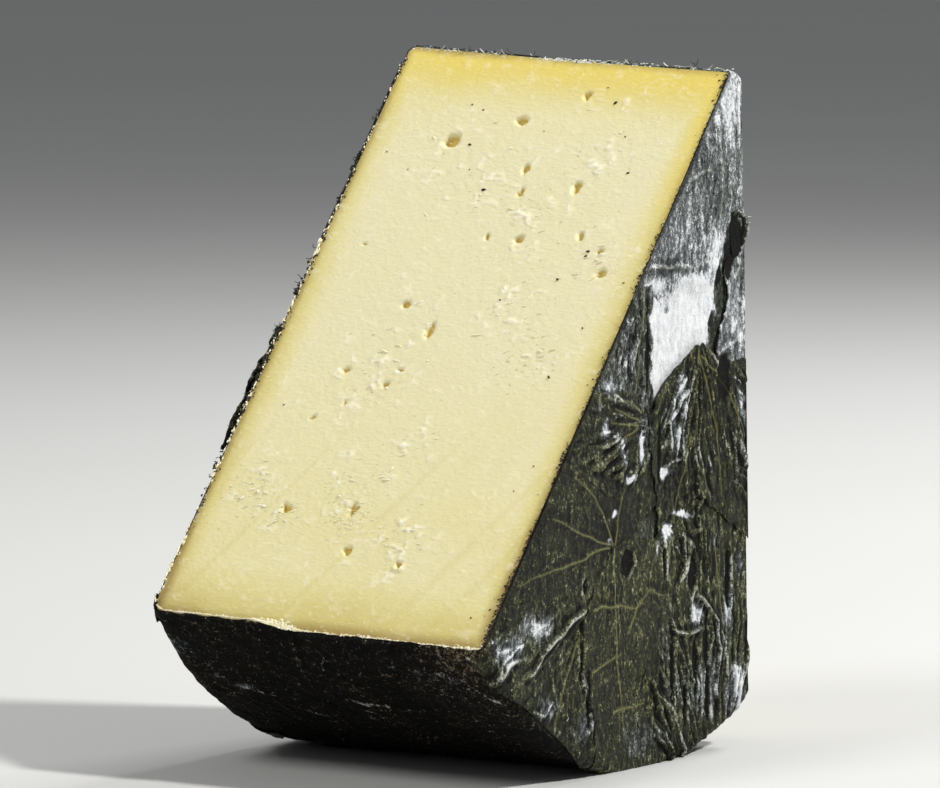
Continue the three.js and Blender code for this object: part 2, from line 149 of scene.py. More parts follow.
def noise(u, v, pitch, seed):
    """Smooth noise from -1 to 1, with features about pitch across."""
    u, v = np.asarray(u, float) / pitch, np.asarray(v, float) / pitch
    i, j = np.floor(u).astype(np.int64), np.floor(v).astype(np.int64)
    f, g = u - i, v - j
    f, g = f * f * (3 - 2 * f), g * g * (3 - 2 * g)
    low = hashed(i, j, seed) * (1 - f) + hashed(i + 1, j, seed) * f
    high = hashed(i, j + 1, seed) * (1 - f) + hashed(i + 1, j + 1, seed) * f
    return 2 * (low * (1 - g) + high * g) - 1


def fractal(u, v, pitch, seed, octaves=3):
    total, weight = 0, 0
    for k in range(octaves):
        total = total + noise(u, v, pitch / 2**k, seed + 17 * k) / 2**k
        weight += 1 / 2**k
    return total / weight


def crests(u, v, pitch, seed):
    """Sharp wandering crests, from 0 between them to 1 on them."""
    return 1 - np.abs(noise(u, v, pitch, seed) + 0.35 * noise(u, v, pitch / 2.3, seed + 5))


def smooth(low, high, value):
    t = np.clip((value - low) / (high - low), 0, 1)
    return t * t * (3 - 2 * t)


# Lines and outlines on a flat sheet.

NOWHERE_NEAR = 1e9


def line_distance(u, v, line):
    """Distance to a line through points, and the share of the way along it."""
    line = np.array(line, float)
    spans = np.hypot(*np.diff(line, axis=0).T)
    starts = np.concatenate([[0], np.cumsum(spans)])
    best = np.full(np.shape(u), NOWHERE_NEAR)
    along = np.zeros(np.shape(u))
    for a, b, span, start in zip(line[:-1], line[1:], spans, starts):
        d = (b - a) / max(span, 1e-9)
        t = np.clip((u - a[0]) * d[0] + (v - a[1]) * d[1], 0, span)
        away = np.hypot(u - a[0] - t * d[0], v - a[1] - t * d[1])
        nearer = away < best
        best = np.where(nearer, away, best)
        along = np.where(nearer, (start + t) / starts[-1], along)
    return best, along


def inside(u, v, outline):
    """Whether points lie inside a closed outline."""
    result = np.zeros(np.shape(u), bool)
    for (a, b), (c, d) in zip(outline, np.roll(outline, -1, axis=0)):
        if b == d:
            continue
        crosses = (b > v) != (d > v)
        result ^= crosses & (u < (c - a) * (v - b) / (d - b) + a)
    return result


FAR_OUT = -4.0


def depth_inside(u, v, outline):
    """Distance inwards from a closed outline, negative outside it and cut off far out."""
    low, high = outline.min(0) + FAR_OUT, outline.max(0) - FAR_OUT
    near = (u > low[0]) & (u < high[0]) & (v > low[1]) & (v < high[1])
    result = np.full(np.shape(u), FAR_OUT)
    closed = np.vstack([outline, outline[:1]])
    away, _ = line_distance(u[near], v[near], closed)
    result[near] = np.where(inside(u[near], v[near], outline), away, np.maximum(-away, FAR_OUT))
    return result


CURVE_STEPS = 24


def smooth_loop(points, spacing):
    """A smooth closed curve through points, at an even spacing."""
    points = np.array(points, float)
    before = np.roll(points, 1, 0)
    after = np.roll(points, -1, 0)
    beyond = np.roll(points, -2, 0)
    t = np.linspace(0, 1, CURVE_STEPS, endpoint=False)[:, None, None]
    curve = 0.5 * (
        2 * points
        + (after - before) * t
        + (2 * before - 5 * points + 4 * after - beyond) * t**2
        + (3 * points - before - 3 * after + beyond) * t**3
    )
    loop = curve.transpose(1, 0, 2).reshape(-1, 2)
    return evenly(np.vstack([loop, loop[:1]]), spacing)[:-1]


def evenly(line, spacing):
    """A line's points again, at an even spacing."""
    line = np.array(line, float)
    run = np.concatenate([[0], np.cumsum(np.hypot(*np.diff(line, axis=0).T))])
    stops = np.linspace(0, run[-1], max(int(run[-1] / spacing), 2) + 1)
    return np.stack([np.interp(stops, run, line[:, k]) for k in (0, 1)], 1)


WANDER_STEP = 0.7
WANDER_PITCH = 3.5


def wandering(line, seed, strength=0.45):
    """A line with the small wanderings of a real vein or crease."""
    points = evenly(line, WANDER_STEP)
    aside = [noise(*points.T, WANDER_PITCH, seed + k) for k in (0, 1)]
    return points + strength * np.stack(aside, 1)


def outwards(loop):
    """The outward direction at each point of a loop that runs anticlockwise."""
    along = np.roll(loop, -1, 0) - np.roll(loop, 1, 0)
    along /= np.maximum(np.hypot(*along.T), 1e-9)[:, None]
    return np.stack([along[:, 1], -along[:, 0]], 1)


TOOTH_PITCH = 4.2
TOOTH_DEPTH = 0.6
TOOTH_RISE = 0.7
TOOTH_FALL = 0.3
TEAR_PITCH = 2.6
TEAR_DEPTH = 0.5


def toothed(loop, seed):
    """The coarse, forward-leaning teeth of a nettle leaf, with torn unevenness."""
    run = np.cumsum(np.hypot(*(np.roll(loop, -1, 0) - loop).T))
    teeth = (run / TOOTH_PITCH + 0.9 * noise(run, 0 * run, 7, seed + 2)) % 1
    size = 0.6 + 0.6 * noise(run, 0 * run, 9, seed)
    shape = np.where(teeth < TOOTH_RISE, teeth / TOOTH_RISE, (1 - teeth) / TOOTH_FALL)
    tears = TEAR_DEPTH * fractal(run, 0 * run, TEAR_PITCH, seed + 1)
    out = TOOTH_DEPTH * size * (shape - 0.5) + tears
    return loop + outwards(loop) * out[:, None]


TUCK = 2.6
TUCK_BLEND = 4


def tucked(loop, above):
    """A loop grown outwards wherever that takes it under a leaf that lies above it."""
    grown = loop + outwards(loop) * TUCK
    under = np.zeros(len(loop))
    for other in above:
        under = np.maximum(under, inside(*grown.T, other))
    blend = range(-TUCK_BLEND, TUCK_BLEND + 1)
    share = sum(np.roll(under, k) for k in blend) / len(blend)
    return loop + outwards(loop) * (TUCK * share)[:, None]


# Half of a nettle leaf's outline: way from base to tip, and share of the leaf's width.
LEAF_HALF = [
    (-0.05, 0.16), (0.02, 0.34), (0.14, 0.48), (0.32, 0.5), (0.52, 0.4), (0.74, 0.23),
    (0.9, 0.09),
]
STALK_NOTCH = 0.04


def leaf_axes(base, tip):
    """A leaf's base and tip as arrays, the way from one to the other and the way across."""
    base, tip = np.array(base, float), np.array(tip, float)
    axis = tip - base
    return base, tip, axis, np.array([-axis[1], axis[0]]) / np.hypot(*axis)


def whole_leaf(base, tip, width):
    """A whole nettle leaf from its base to its tip: heart-shaped, widest near the base."""
    base, tip, axis, side = leaf_axes(base, tip)
    half = [(t, offset * width) for t, offset in LEAF_HALF]
    left = [base + axis * t + side * offset for t, offset in half]
    right = [base + axis * t - side * offset for t, offset in reversed(half)]
    return [*left, tip, *right, base + axis * STALK_NOTCH]


# Mesh building.

def to_row(points):
    """Points round the wheel's centre, in millimetres, as row-frame metres."""
    return (np.asarray(points) + CENTRE) * MM


TOP_TILT_LEFT = 1.8
TOP_TILT_RIGHT = 1.3
TILT_START = 20


def settled(points):
    """The wedge's final form. Its top runs down a little towards the right, along the cut,
    and nothing reaches below the surface that the wedge stands on."""
    points = np.array(points, float)
    x, _, z = points.T
    tilt = np.where(x < 0, TOP_TILT_LEFT, TOP_TILT_RIGHT) * -x / OUTER_HALF
    rise = tilt * np.clip((z - TILT_START) / (FRONT_TOP[1] - TILT_START), 0, 1) ** 2
    points[:, 1] += rise * FRONT_SLOPE
    points[:, 2] = np.maximum(z + rise, REST_PLANE)
    return points


def make_piece(name, points, faces, values=None, sharp=50):
    mesh = bpy.data.meshes.new(name)
    mesh.from_pydata(to_row(settled(points)).tolist(), [], faces)
    mesh.validate()
    for key, value in (values or {}).items():
        layer = mesh.attributes.new(key, "FLOAT", "POINT")
        layer.data.foreach_set("value", np.asarray(value, np.float32))
    mesh.polygons.foreach_set("use_smooth", [True] * len(mesh.polygons))
    mesh.set_sharp_from_angle(angle=math.radians(sharp))
    piece = bpy.data.objects.new(name, mesh)
    bpy.context.scene.collection.objects.link(piece)
    return piece


def grid_faces(rows, columns, start=0, flip=False, closed=False):
    """Four-sided faces of a grid of points stored row by row."""
    i, j = np.meshgrid(np.arange(columns if closed else columns - 1), np.arange(rows - 1))
    a = start + j * columns + i
    b = start + j * columns + (i + 1) % columns
    c, d = b + columns, a + columns
    quads = np.stack([a, d, c, b] if flip else [a, b, c, d], -1)
    return quads.reshape(-1, 4).tolist()


LEAST_GAP = 0.02


def clipped(outline, keep):
    """The part of a closed outline where keep, a list of distance functions, is positive."""
    for distance in keep:
        result = []
        values = [distance(p) for p in outline]
        for k, p in enumerate(outline):
            q, here, there = outline[k - 1], values[k], values[k - 1]
            if (here >= 0) != (there >= 0):
                share = there / (there - here)
                result.append(q + (p - q) * share)
            if here >= 0:
                result.append(p)
        outline = result
    kept = [p for k, p in enumerate(outline) if np.hypot(*(p - outline[k - 1])) > LEAST_GAP]
    return np.array(kept)


LINE_STEP = 0.45
LINE_FLANK = 0.3
LINE_REACH = 1.0
LINE_CLEAR = 1.6
LEAST_CELL = 0.16
ROW_SHARE = 0.87
JITTER = 0.15
EDGE_CLEAR = 0.5


def line_points(lines):
    """Points along lines and beside them, so that a mesh follows them closely."""
    found = []
    for line in lines:
        points = evenly(line, LINE_STEP)
        along = np.gradient(points, axis=0)
        along /= np.maximum(np.hypot(*along.T), 1e-9)[:, None]
        across = np.stack([-along[:, 1], along[:, 0]], 1) * LINE_FLANK
        found += [points, points + across, points - across]
    return np.vstack(found)


def thinned(points, spacing):
    """Points without those that share a small cell with another."""
    cells = np.floor(points / spacing).astype(np.int64)
    _, first = np.unique(cells, axis=0, return_index=True)
    return points[np.sort(first)]


def triangulated(outline, spacing, seed, lines=()):
    """Points and triangles that fill an outline, with the outline's own points first."""
    low, high = outline.min(0) - spacing, outline.max(0) + spacing
    rows = np.arange(low[1], high[1], spacing * ROW_SHARE)
    columns = np.arange(low[0], high[0], spacing)
    u, v = np.meshgrid(columns, rows)
    u = u + 0.5 * spacing * (np.arange(len(rows)) % 2)[:, None]
    random = np.random.default_rng(seed)
    u = (u + random.uniform(-JITTER, JITTER, u.shape) * spacing).ravel()
    v = (v + random.uniform(-JITTER, JITTER, v.shape) * spacing).ravel()
    inner = np.stack([u, v], 1)
    if len(lines):
        near = np.full(len(inner), NOWHERE_NEAR)
        for line in lines:
            near = np.minimum(near, near_line(u, v, line, LINE_REACH)[0])
        inner = np.vstack([line_points(lines), inner[near > LINE_FLANK * LINE_CLEAR]])
        inner = thinned(inner, LEAST_CELL)
    deep = depth_inside(inner[:, 0], inner[:, 1], outline)
    points = np.vstack([outline, inner[deep > EDGE_CLEAR * spacing]])
    loop = list(range(len(outline)))
    result = delaunay_2d_cdt([Vector(p) for p in points], [], [loop], 1, 1e-5)
    flat = np.array([tuple(p) for p in result[0]])
    return flat, [list(face) for face in result[2]]


def boundary_edges(triangles):
    seen = {}
    for a, b, c in triangles:
        for edge in ((a, b), (b, c), (c, a)):
            seen[edge] = True
    return [(a, b) for a, b in seen if (b, a) not in seen]


def sheet_piece(name, outline, spacing, place, surface, seed, lines=()):
    """A thin closed sheet over an outline. surface gives, for places on the sheet, its
    underside, its top and the values that its finish needs."""
    flat, triangles = triangulated(outline, spacing, seed, lines)
    u, v = flat.T
    lower, upper, values = surface(u, v)
    top, bottom = place(u, v, upper), place(u, v, lower)
    count = len(flat)
    faces = list(triangles)
    faces += [[c + count, b + count, a + count] for a, b, c in triangles]
    faces += [[b, a, a + count, b + count] for a, b in boundary_edges(triangles)]
    twice = {key: np.tile(value, 2) for key, value in values.items()}
    return make_piece(name, np.vstack([top, bottom]), faces, twice)


# The wheel's edge, by the distance round it from the left flat face to the right one.

QUARTER = math.pi / 2
LEFT_ARC = LEFT_ROUND * QUARTER


def rim_length(left_round):
    """The length of the wheel's edge across, from one flat face to the other."""
    return 2 * PASTE_HALF + (left_round + RIGHT_ROUND) * (QUARTER - 1)


def profile_at(run, left_round):
    """x, radius and the outward direction's two parts at a distance round the edge."""
    run = np.asarray(run, float)
    from_right = rim_length(left_round) - run
    left = np.clip(run / left_round, 0, QUARTER)
    right = np.clip(QUARTER - from_right / RIGHT_ROUND, 0, QUARTER)
    on_left = run < left_round * QUARTER
    on_right = from_right < RIGHT_ROUND * QUARTER
    x = -PASTE_HALF + left_round * (1 - QUARTER) + run
    x = np.where(on_left, -PASTE_HALF + left_round * (1 - np.cos(left)), x)
    x = np.where(on_right, PASTE_HALF - RIGHT_ROUND * (1 - np.sin(right)), x)
    radius = np.where(on_left, PASTE_RADIUS - left_round * (1 - np.sin(left)), PASTE_RADIUS)
    radius = np.where(on_right, PASTE_RADIUS - RIGHT_ROUND * (1 - np.cos(right)), radius)
    out_x = np.where(on_left, -np.cos(left), np.where(on_right, np.sin(right), 0.0))
    out_r = np.where(on_left, np.sin(left), np.where(on_right, np.cos(right), 1.0))
    return x, radius, out_x, out_r


def on_rim(angle, run, w, left_round):
    x, radius, out_x, out_r = profile_at(run, left_round)
    r = radius + w * out_r
    return np.stack([x + w * out_x, r * np.sin(angle), -r * np.cos(angle)], -1)


def edge_round(side, v):
    """How round the wheel's edge is beside a flat face, at a height."""
    return RIGHT_ROUND if side > 0 else np.where(v > 0, TOP_ROUND, LEFT_ROUND)


def wrap_face(u, v, w, side):
    """Points on a flat face, which runs on round the wheel's edge onto the rim."""
    left_round = edge_round(-1, v)
    edge = edge_round(side, v)
    reach = np.hypot(u, v)
    over = np.maximum(reach - (PASTE_RADIUS - edge), 0)
    run = rim_length(left_round) - over if side > 0 else over
    x, radius, out_x, out_r = profile_at(run, left_round)
    bent = over > 0
    scale = np.where(bent, (radius + w * out_r) / np.maximum(reach, 1e-6), 1)
    x = np.where(bent, x + w * out_x, side * (PASTE_HALF + w))
    return np.stack([x, side * u * scale, v * scale], -1)


def on_right(u, v, w):
    return wrap_face(u, v, w, 1)


def on_left(u, v, w):
    """The left face is seen from its own outside, so u grows towards the viewer."""
    return wrap_face(u, v, w, -1)


def front_reach(u, v, side):
    """How far a place on a flat face lies behind the leaning cut."""
    return (side * u - front_s(side * OUTER_HALF, v)) / SLOPE_LENGTH


def back_reach(u, v, side):
    return back_s(v) - side * u


# The cut faces' pits and marks: place across the wheel and down the slope, in millimetres.
# A pit's width and height follow.
FRONT_PITS = [
    (-18.8, 21.2, 4.0, 3.8), (-4.3, 15.6, 2.7, 2.8), (8.4, 8.6, 1.8, 1.8),
    (1.6, 27.7, 1.6, 2.8), (2.9, 33.2, 1.4, 2.8), (15.3, 31.8, 2.0, 3.3),
    (7.4, 45.1, 2.0, 2.4), (-0.5, 44.7, 1.1, 1.9), (21.3, 43.8, 1.5, 1.9),
    (27.3, 47.2, 2.0, 1.4), (29.3, 52.6, 2.3, 2.8), (-28.5, 47.6, 1.1, 1.1),
    (-12.3, 62.2, 3.2, 1.9), (-3.8, 68.2, 2.0, 4.7), (-19.2, 78.6, 2.3, 1.4),
    (-8.6, 81.7, 1.5, 1.9), (-16.0, 86.5, 1.1, 1.7), (-22.1, 90.5, 1.1, 1.4),
    (-6.9, 78.2, 1.4, 1.2), (-18.6, 112.4, 2.3, 2.8), (-3.2, 111.6, 1.8, 3.3),
    (-0.4, 121.1, 1.8, 2.1), (12.7, 123.7, 1.5, 1.9),
]
# Crumbly places: across, down and radius.
FRONT_CRUMBLY = [
    (20, 24, 9), (-6, 67, 6), (-13, 81, 10), (-7, 106, 6), (8, 36, 12), (-12, 30, 10),
    (27, 50, 5), (10, 118, 6), (4, 96, 7), (-28, 108, 6), (10, 60, 8), (-19, 114, 4),
    (12, 125, 4), (-4, 113, 4), (22, 72, 6),
]
PIT_RAGGED = 0.45
PIT_RAGGED_PITCH = 1.1
PIT_DEPTH_SHARE = 0.34
PIT_DEPTH_LEAST = 0.2
PIT_LIP_AT = 1.4
PIT_LIP_WIDTH = 0.3
PIT_LIP_HEIGHT = 0.34


def pit_field(x, down, pits, seed):
    """Depth of the pits, and how far into one each point is, from 0 to 1."""
    warp_x = x + PIT_RAGGED * noise(x, down, PIT_RAGGED_PITCH, seed)
    warp_d = down + PIT_RAGGED * noise(x, down, PIT_RAGGED_PITCH, seed + 1)
    depth, within = np.zeros(np.shape(x)), np.zeros(np.shape(x))
    for across, at, width, height in pits:
        away = np.hypot((warp_x - across) / (0.5 * width), (warp_d - at) / (0.5 * height))
        shape = smooth(1.1, 0.5, away)
        deep = PIT_DEPTH_SHARE * min(width, height) + PIT_DEPTH_LEAST
        depth = np.maximum(depth, deep * shape)
        within = np.maximum(within, shape)
        lip = np.exp(-(((away - PIT_LIP_AT) / PIT_LIP_WIDTH) ** 2))
        lip = lip * smooth(-0.3, 0.8, warp_d - at) * (shape < 0.05)
        depth = depth - PIT_LIP_HEIGHT * lip * (0.6 + 0.6 * noise(x, down, 1.6, seed + 2))
    return depth, within


def loose_share(x, down, crumbly, seed):
    """How crumbly a cut face is at a place."""
    loose = np.zeros(np.shape(x))
    for across, at, radius in crumbly:
        away = np.hypot(x - across, down - at) / radius
        loose = np.maximum(loose, np.exp(-(away**2)))
    return np.clip(loose + 0.3 * noise(x, down, 9, seed), 0, 1)


FLAKE_PITCH = 1.25
FLAKE_HEIGHT = 0.03
LOOSE_FLAKE_HEIGHT = 0.26
SWELL_PITCH = 24
SWELL = 0.09
GRAIN_PITCH = 1.5
GRAIN = 0.025
LOOSE_GRAIN = 0.07
DRAG_PITCH = 8.0
DRAG_HEIGHT = 0.13
DRAG_START = 70.0
DRAG_FULL = 118


def cut_relief(x, down, pits, crumbly, seed):
    """Inward depth of a cut face, with its pit and crumb shares and the knife's drag."""
    depth, within = pit_field(x, down, pits, seed)
    loose = loose_share(x, down, crumbly, seed + 3)
    tears = crests(0.5 * x + 0.15 * down, down, FLAKE_PITCH, seed + 4)
    flakes = smooth(0.7, 0.97, tears) * smooth(0.05, 0.7, noise(x, down, 2.3, seed + 5))
    depth = depth - (FLAKE_HEIGHT + LOOSE_FLAKE_HEIGHT * loose) * flakes
    depth = depth + SWELL * fractal(x, down, SWELL_PITCH, seed + 6)
    depth = depth + (GRAIN + LOOSE_GRAIN * loose) * fractal(x, down, GRAIN_PITCH, seed + 7)
    across = 0.9 * x + 0.5 * down
    drag = crests(across, 0.05 * (down - 1.7 * x), DRAG_PITCH, seed + 8)
    drag = smooth(0.6, 1.0, drag) * smooth(DRAG_START, DRAG_FULL, down)
    return depth - DRAG_HEIGHT * drag, within, np.clip(flakes * (0.25 + loose), 0, 1), drag


RIND_FLAT_WIDTH = 8.5
RIND_RIM_WIDTH = 21.0
LOWER_CORE = 0.38


def rind_share(x, s, z):
    """How near a point of the paste is to the leaves: 1 beside them, 0 in the upper core."""
    flat = (PASTE_HALF - np.abs(x)) / RIND_FLAT_WIDTH
    rim = (PASTE_RADIUS - np.hypot(s, z)) / RIND_RIM_WIDTH
    lower_core = LOWER_CORE * smooth(15, -25, z)
    return np.clip(np.maximum(1 - np.minimum(flat, rim), lower_core), 0, 1)


def edge_gap(x, s, z):
    """Distance from the leaves, in millimetres."""
    return np.minimum(PASTE_HALF - np.abs(x), PASTE_RADIUS - np.hypot(s, z))


BROWN_EDGE_WIDTH = 1.9
LOW_BROWN_EDGE_WIDTH = 1.4
CORNER_BROWN = 0.7


def edge_brown(x, s, z):
    """Brown along the paste's edge, most of it low down and at the left, and in the lower left
    corner.
    """
    gap = edge_gap(x, s, z)
    low = 0.45 + 0.55 * np.maximum(smooth(20, -40, z), 0.7 * smooth(0, -30, x))
    thin = smooth(BROWN_EDGE_WIDTH + LOW_BROWN_EDGE_WIDTH * smooth(-20, -44, z), 0.0, gap) * low
    corner = smooth(18, 2, x + PASTE_HALF) * smooth(-26, -56, z) * smooth(12, 0, gap)
    return np.clip(thin + CORNER_BROWN * corner, 0, 1)


PASTE_STEP = 0.42
ROUND_STEPS = 9


def paste_stations():
    """Places across the wheel, close together round its edges."""
    t = np.linspace(0, QUARTER, ROUND_STEPS)
    left = -PASTE_HALF + LEFT_ROUND * (1 - np.cos(t))
    right = PASTE_HALF - RIGHT_ROUND * (1 - np.sin(t))
    count = int((right[0] - left[-1]) / PASTE_STEP)
    middle = np.linspace(left[-1], right[0], count + 1)[1:-1]
    return np.concatenate([left, middle, right])


def paste_radius(x, left_round):
    """The paste's radius at a place across, with its rounded left and right edges."""
    left = np.clip((left_round - PASTE_HALF - x) / left_round, 0, 1)
    right = np.clip((x - PASTE_HALF + RIGHT_ROUND) / RIGHT_ROUND, 0, 1)
    drop = left_round * (1 - np.sqrt(1 - left**2)) + RIGHT_ROUND * (1 - np.sqrt(1 - right**2))
    return PASTE_RADIUS - drop


BACK_PIT_COUNT = 34
BACK_PITS_TOP = 10
BACK_PITS_LENGTH = 108
LARGE_PIT_EVERY = 9
LARGE_PIT_FIRST = 4
LARGE_PIT_EXTRA = 1.8


def back_pits():
    """The back cut's pits: one in each stretch down it, and every ninth a large one."""
    random = np.random.default_rng(5)
    pits = []
    for k in range(BACK_PIT_COUNT):
        across = random.uniform(-0.8, 0.8) * PASTE_HALF
        down = BACK_PITS_TOP + (k + random.uniform()) * BACK_PITS_LENGTH / BACK_PIT_COUNT
        extra = LARGE_PIT_EXTRA if k % LARGE_PIT_EVERY == LARGE_PIT_FIRST else 0
        size = random.uniform(1.0, 2.2) + extra
        pits.append((across, down, size, size * random.uniform(0.7, 1.7)))
    return pits


BACK_CRUMBLY = [(-10, 30, 12), (14, 60, 10), (-18, 80, 9), (8, 100, 12), (22, 26, 7)]

# The number of points along each side of the paste's cross-section.
FRONT_COUNT = 334
RIM_COUNT = 40
BACK_COUNT = 150
TOP_COUNT = 6


def edge_glow_share(x, z):
    """How much painted glow, of light through the thin edge, turns the paste's yellow edge golden:
    most of all at the top and up the right side.
    """
    return np.maximum(smooth(50, 63, z), smooth(24, 60, z) * smooth(18, 38, x))


def cheese_paste():
    """The paste as one closed loft of cross-sections along the wheel's axis."""
    xs = paste_stations()
    low_radius, high_radius = paste_radius(xs, LEFT_ROUND), paste_radius(xs, TOP_ROUND)
    front_low, front_high = front_angles(xs, low_radius)[0], front_angles(xs, high_radius)[1]
    back_low, back_high = back_angles(low_radius)[0], back_angles(high_radius)[1]

    def on_circle(angle, radius):
        return np.stack([radius * np.sin(angle), -radius * np.cos(angle)], -1)

    def straight(a, b, count):
        t = np.linspace(0, 1, count, endpoint=False)[:, None, None]
        return a * (1 - t) + b * t

    def arc(a, b, radius, count):
        t = np.linspace(0, 1, count, endpoint=False)[:, None]
        return on_circle(a * (1 - t) + b * t, radius)

    top_front, low_front = on_circle(front_high, high_radius), on_circle(front_low, low_radius)
    top_back, low_back = on_circle(back_high, high_radius), on_circle(back_low, low_radius)
    front = straight(top_front, low_front, FRONT_COUNT)
    rim = arc(front_low, back_low, low_radius, RIM_COUNT)
    back = straight(low_back, top_back, BACK_COUNT)
    top = arc(back_high, front_high, high_radius, TOP_COUNT)
    section = np.concatenate([front, rim, back, top])
    x = np.broadcast_to(xs, section.shape[:2])
    s, z = section[..., 0].copy(), section[..., 1].copy()
    calm = smooth(0.0, 0.5, edge_gap(x, s, z))

    front_rows, back_rows = slice(0, FRONT_COUNT), slice(FRONT_COUNT + RIM_COUNT, -TOP_COUNT)
    pit, crumb, drag = np.zeros(x.shape), np.zeros(x.shape), np.zeros(x.shape)
    for rows, down, pits, crumbly, seed in (
        (front_rows, (FRONT_TOP[1] - z) * SLOPE_LENGTH, FRONT_PITS, FRONT_CRUMBLY, 21),
        (back_rows, BACK_TOP[1] - z, back_pits(), BACK_CRUMBLY, 61),
    ):
        found = cut_relief(x[rows], down[rows], pits, crumbly, seed)
        pit[rows], crumb[rows], drag[rows] = found[1:]
        depth = found[0] * calm[rows]
        if rows == front_rows:
            s[rows] += depth / SLOPE_LENGTH
            z[rows] -= depth * FRONT_SLOPE / SLOPE_LENGTH
        else:
            s[rows] -= depth

    points = np.stack([x, s, z], -1).transpose(1, 0, 2)
    rows, columns = points.shape[:2]
    faces = grid_faces(rows, columns, closed=True)
    faces.append(list(range(columns))[::-1])
    faces.append([(rows - 1) * columns + k for k in range(columns)])
    flat = points.reshape(-1, 3)
    values = {
        "rind": rind_share(*flat.T),
        "stain": edge_brown(*flat.T),
        "warm": edge_glow_share(flat[:, 0], flat[:, 2]),
        "pit": pit.T.ravel(),
        "crumb": crumb.T.ravel(),
        "drag": drag.T.ravel(),
    }
    return make_piece("paste_body", flat, faces, values)


# Leaf relief. Each flat face, and the rim, has one map of heights and marks, which all its
# leaves share, so that they fold together and never cross.

class ReliefMap:
    """Values on a fine grid over a sheet, read anywhere on it."""

    def __init__(self, low, high, step):
        self.low, self.step = np.array(low, float), step
        self.shape = [int((b - a) / step) + 2 for a, b in zip(low, high)]
        axes = [a + step * np.arange(n) for a, n in zip(low, self.shape)]
        self.u, self.v = np.meshgrid(*axes, indexing="ij")
        self.layers = {}

    def read(self, key, u, v):
        layer = self.layers[key]
        i = np.clip((u - self.low[0]) / self.step, 0, self.shape[0] - 1.001)
        j = np.clip((v - self.low[1]) / self.step, 0, self.shape[1] - 1.001)
        a, b = i.astype(int), j.astype(int)
        f, g = i - a, j - b
        low = layer[a, b] * (1 - f) + layer[a + 1, b] * f
        high = layer[a, b + 1] * (1 - f) + layer[a + 1, b + 1] * f
        return low * (1 - g) + high * g


def fan(u, v, base, middle, pitch, seed):
    """Sharp folds that spread from a place, with the pitch that they have at the middle."""
    reach = math.dist(base, middle)
    ahead = (middle[0] - base[0]) / reach, (middle[1] - base[1]) / reach
    along = (u - base[0]) * ahead[0] + (v - base[1]) * ahead[1]
    aside = (v - base[1]) * ahead[0] - (u - base[0]) * ahead[1]
    across = np.arctan2(aside, along) * reach
    across = across + 1.6 * noise(u, v, 8, seed + 2) + 0.5 * noise(u, v, 2.6, seed + 3)
    along = np.hypot(along, aside)
    wide = smooth(0.62, 1.0, crests(across, along * 0.16, pitch, seed))
    narrow = smooth(0.6, 1.0, crests(across, along * 0.2, pitch * 0.42, seed + 6))
    return wide + 0.45 * narrow * (1 - 0.5 * wide)


def near_line(u, v, line, reach):
    """Distance to a line and share along it, worked out only within reach of it."""
    line = np.array(line, float)
    low, high = line.min(0) - reach, line.max(0) + reach
    near = (u > low[0]) & (u < high[0]) & (v > low[1]) & (v < high[1])
    away, along = np.full(u.shape, NOWHERE_NEAR), np.zeros(u.shape)
    away[near], along[near] = line_distance(u[near], v[near], line)
    return away, along


LEAF_REST = 0.24
LEAF_SWELL = 0.2
LEAF_SWELL_PITCH = 16
COARSE_FOLD = 0.22
COARSE_FOLD_PITCH = 6.5
FINE_FOLD = 0.16
FINE_FOLD_PITCH = 1.9
LOOP_STEP = 1.5
PLEAT_PITCH = 3.2
PLEAT_FOLD = 0.5
CREASE_TAPER = 0.12
CREASE_POWER = 1.3
VEIN_REACH = 1.2
VEIN_HEIGHT = 0.3
CREST_REACH = 0.9
CREST_GAIN = 4.6
POCKET_PAINTED_SHADE = 1.4


def leaf_folds(u, v, leaves, seed):
    """Small folds everywhere, and the pleats that spread from each leaf's base."""
    coarse = crests(u + 1.5 * noise(u, v, 6, seed + 1), 0.6 * v, COARSE_FOLD_PITCH, seed + 2)
    fine = crests(u, 0.45 * v + noise(u, v, 3, seed + 3), FINE_FOLD_PITCH, seed + 4)
    folds = COARSE_FOLD * smooth(0.6, 1, coarse) + FINE_FOLD * smooth(0.6, 1, fine)
    covered = np.zeros(u.shape)
    lively = 0.3 + 0.7 * smooth(-0.35, 0.45, fractal(u, v, 13, seed + 7, 2))
    for k, leaf in enumerate(leaves):
        loop = evenly(np.vstack([leaf["loop"], leaf["loop"][:1]]), LOOP_STEP)[:-1]
        mask = smooth(-0.5, 1.5, depth_inside(u, v, loop)) * (1 - covered)
        covered = np.maximum(covered, mask)
        pitch = leaf.get("pleat", PLEAT_PITCH)
        pleats = fan(u, v, leaf["base"], loop.mean(0), pitch, seed + 31 * k)
        reach = smooth(1, 9, np.hypot(u - leaf["base"][0], v - leaf["base"][1]))
        folds = folds * (1 - mask * leaf.get("calm", 0.2))
        folds = folds + mask * leaf.get("fold", PLEAT_FOLD) * pleats * reach * lively
    return folds


def crease_ridges(u, v, creases, seed):
    """Height of the large creases, and the painted glint along them."""
    ridge, glint = np.zeros(u.shape), np.zeros(u.shape)
    for height, width, white, line in creases:
        away, along = near_line(u, v, line, 2 * width)
        taper = smooth(0, CREASE_TAPER, along) * smooth(1, 0.85, along)
        shape = np.clip(1 - away / width, 0, 1) ** CREASE_POWER * taper
        ridge = np.maximum(ridge, height * shape)
        glint = np.maximum(glint, white * smooth(0.5, 0.95, shape))
    glint = glint * (0.35 + 0.65 * smooth(-0.5, 0.35, noise(u, v, 2.4, seed + 10)))
    return ridge, glint


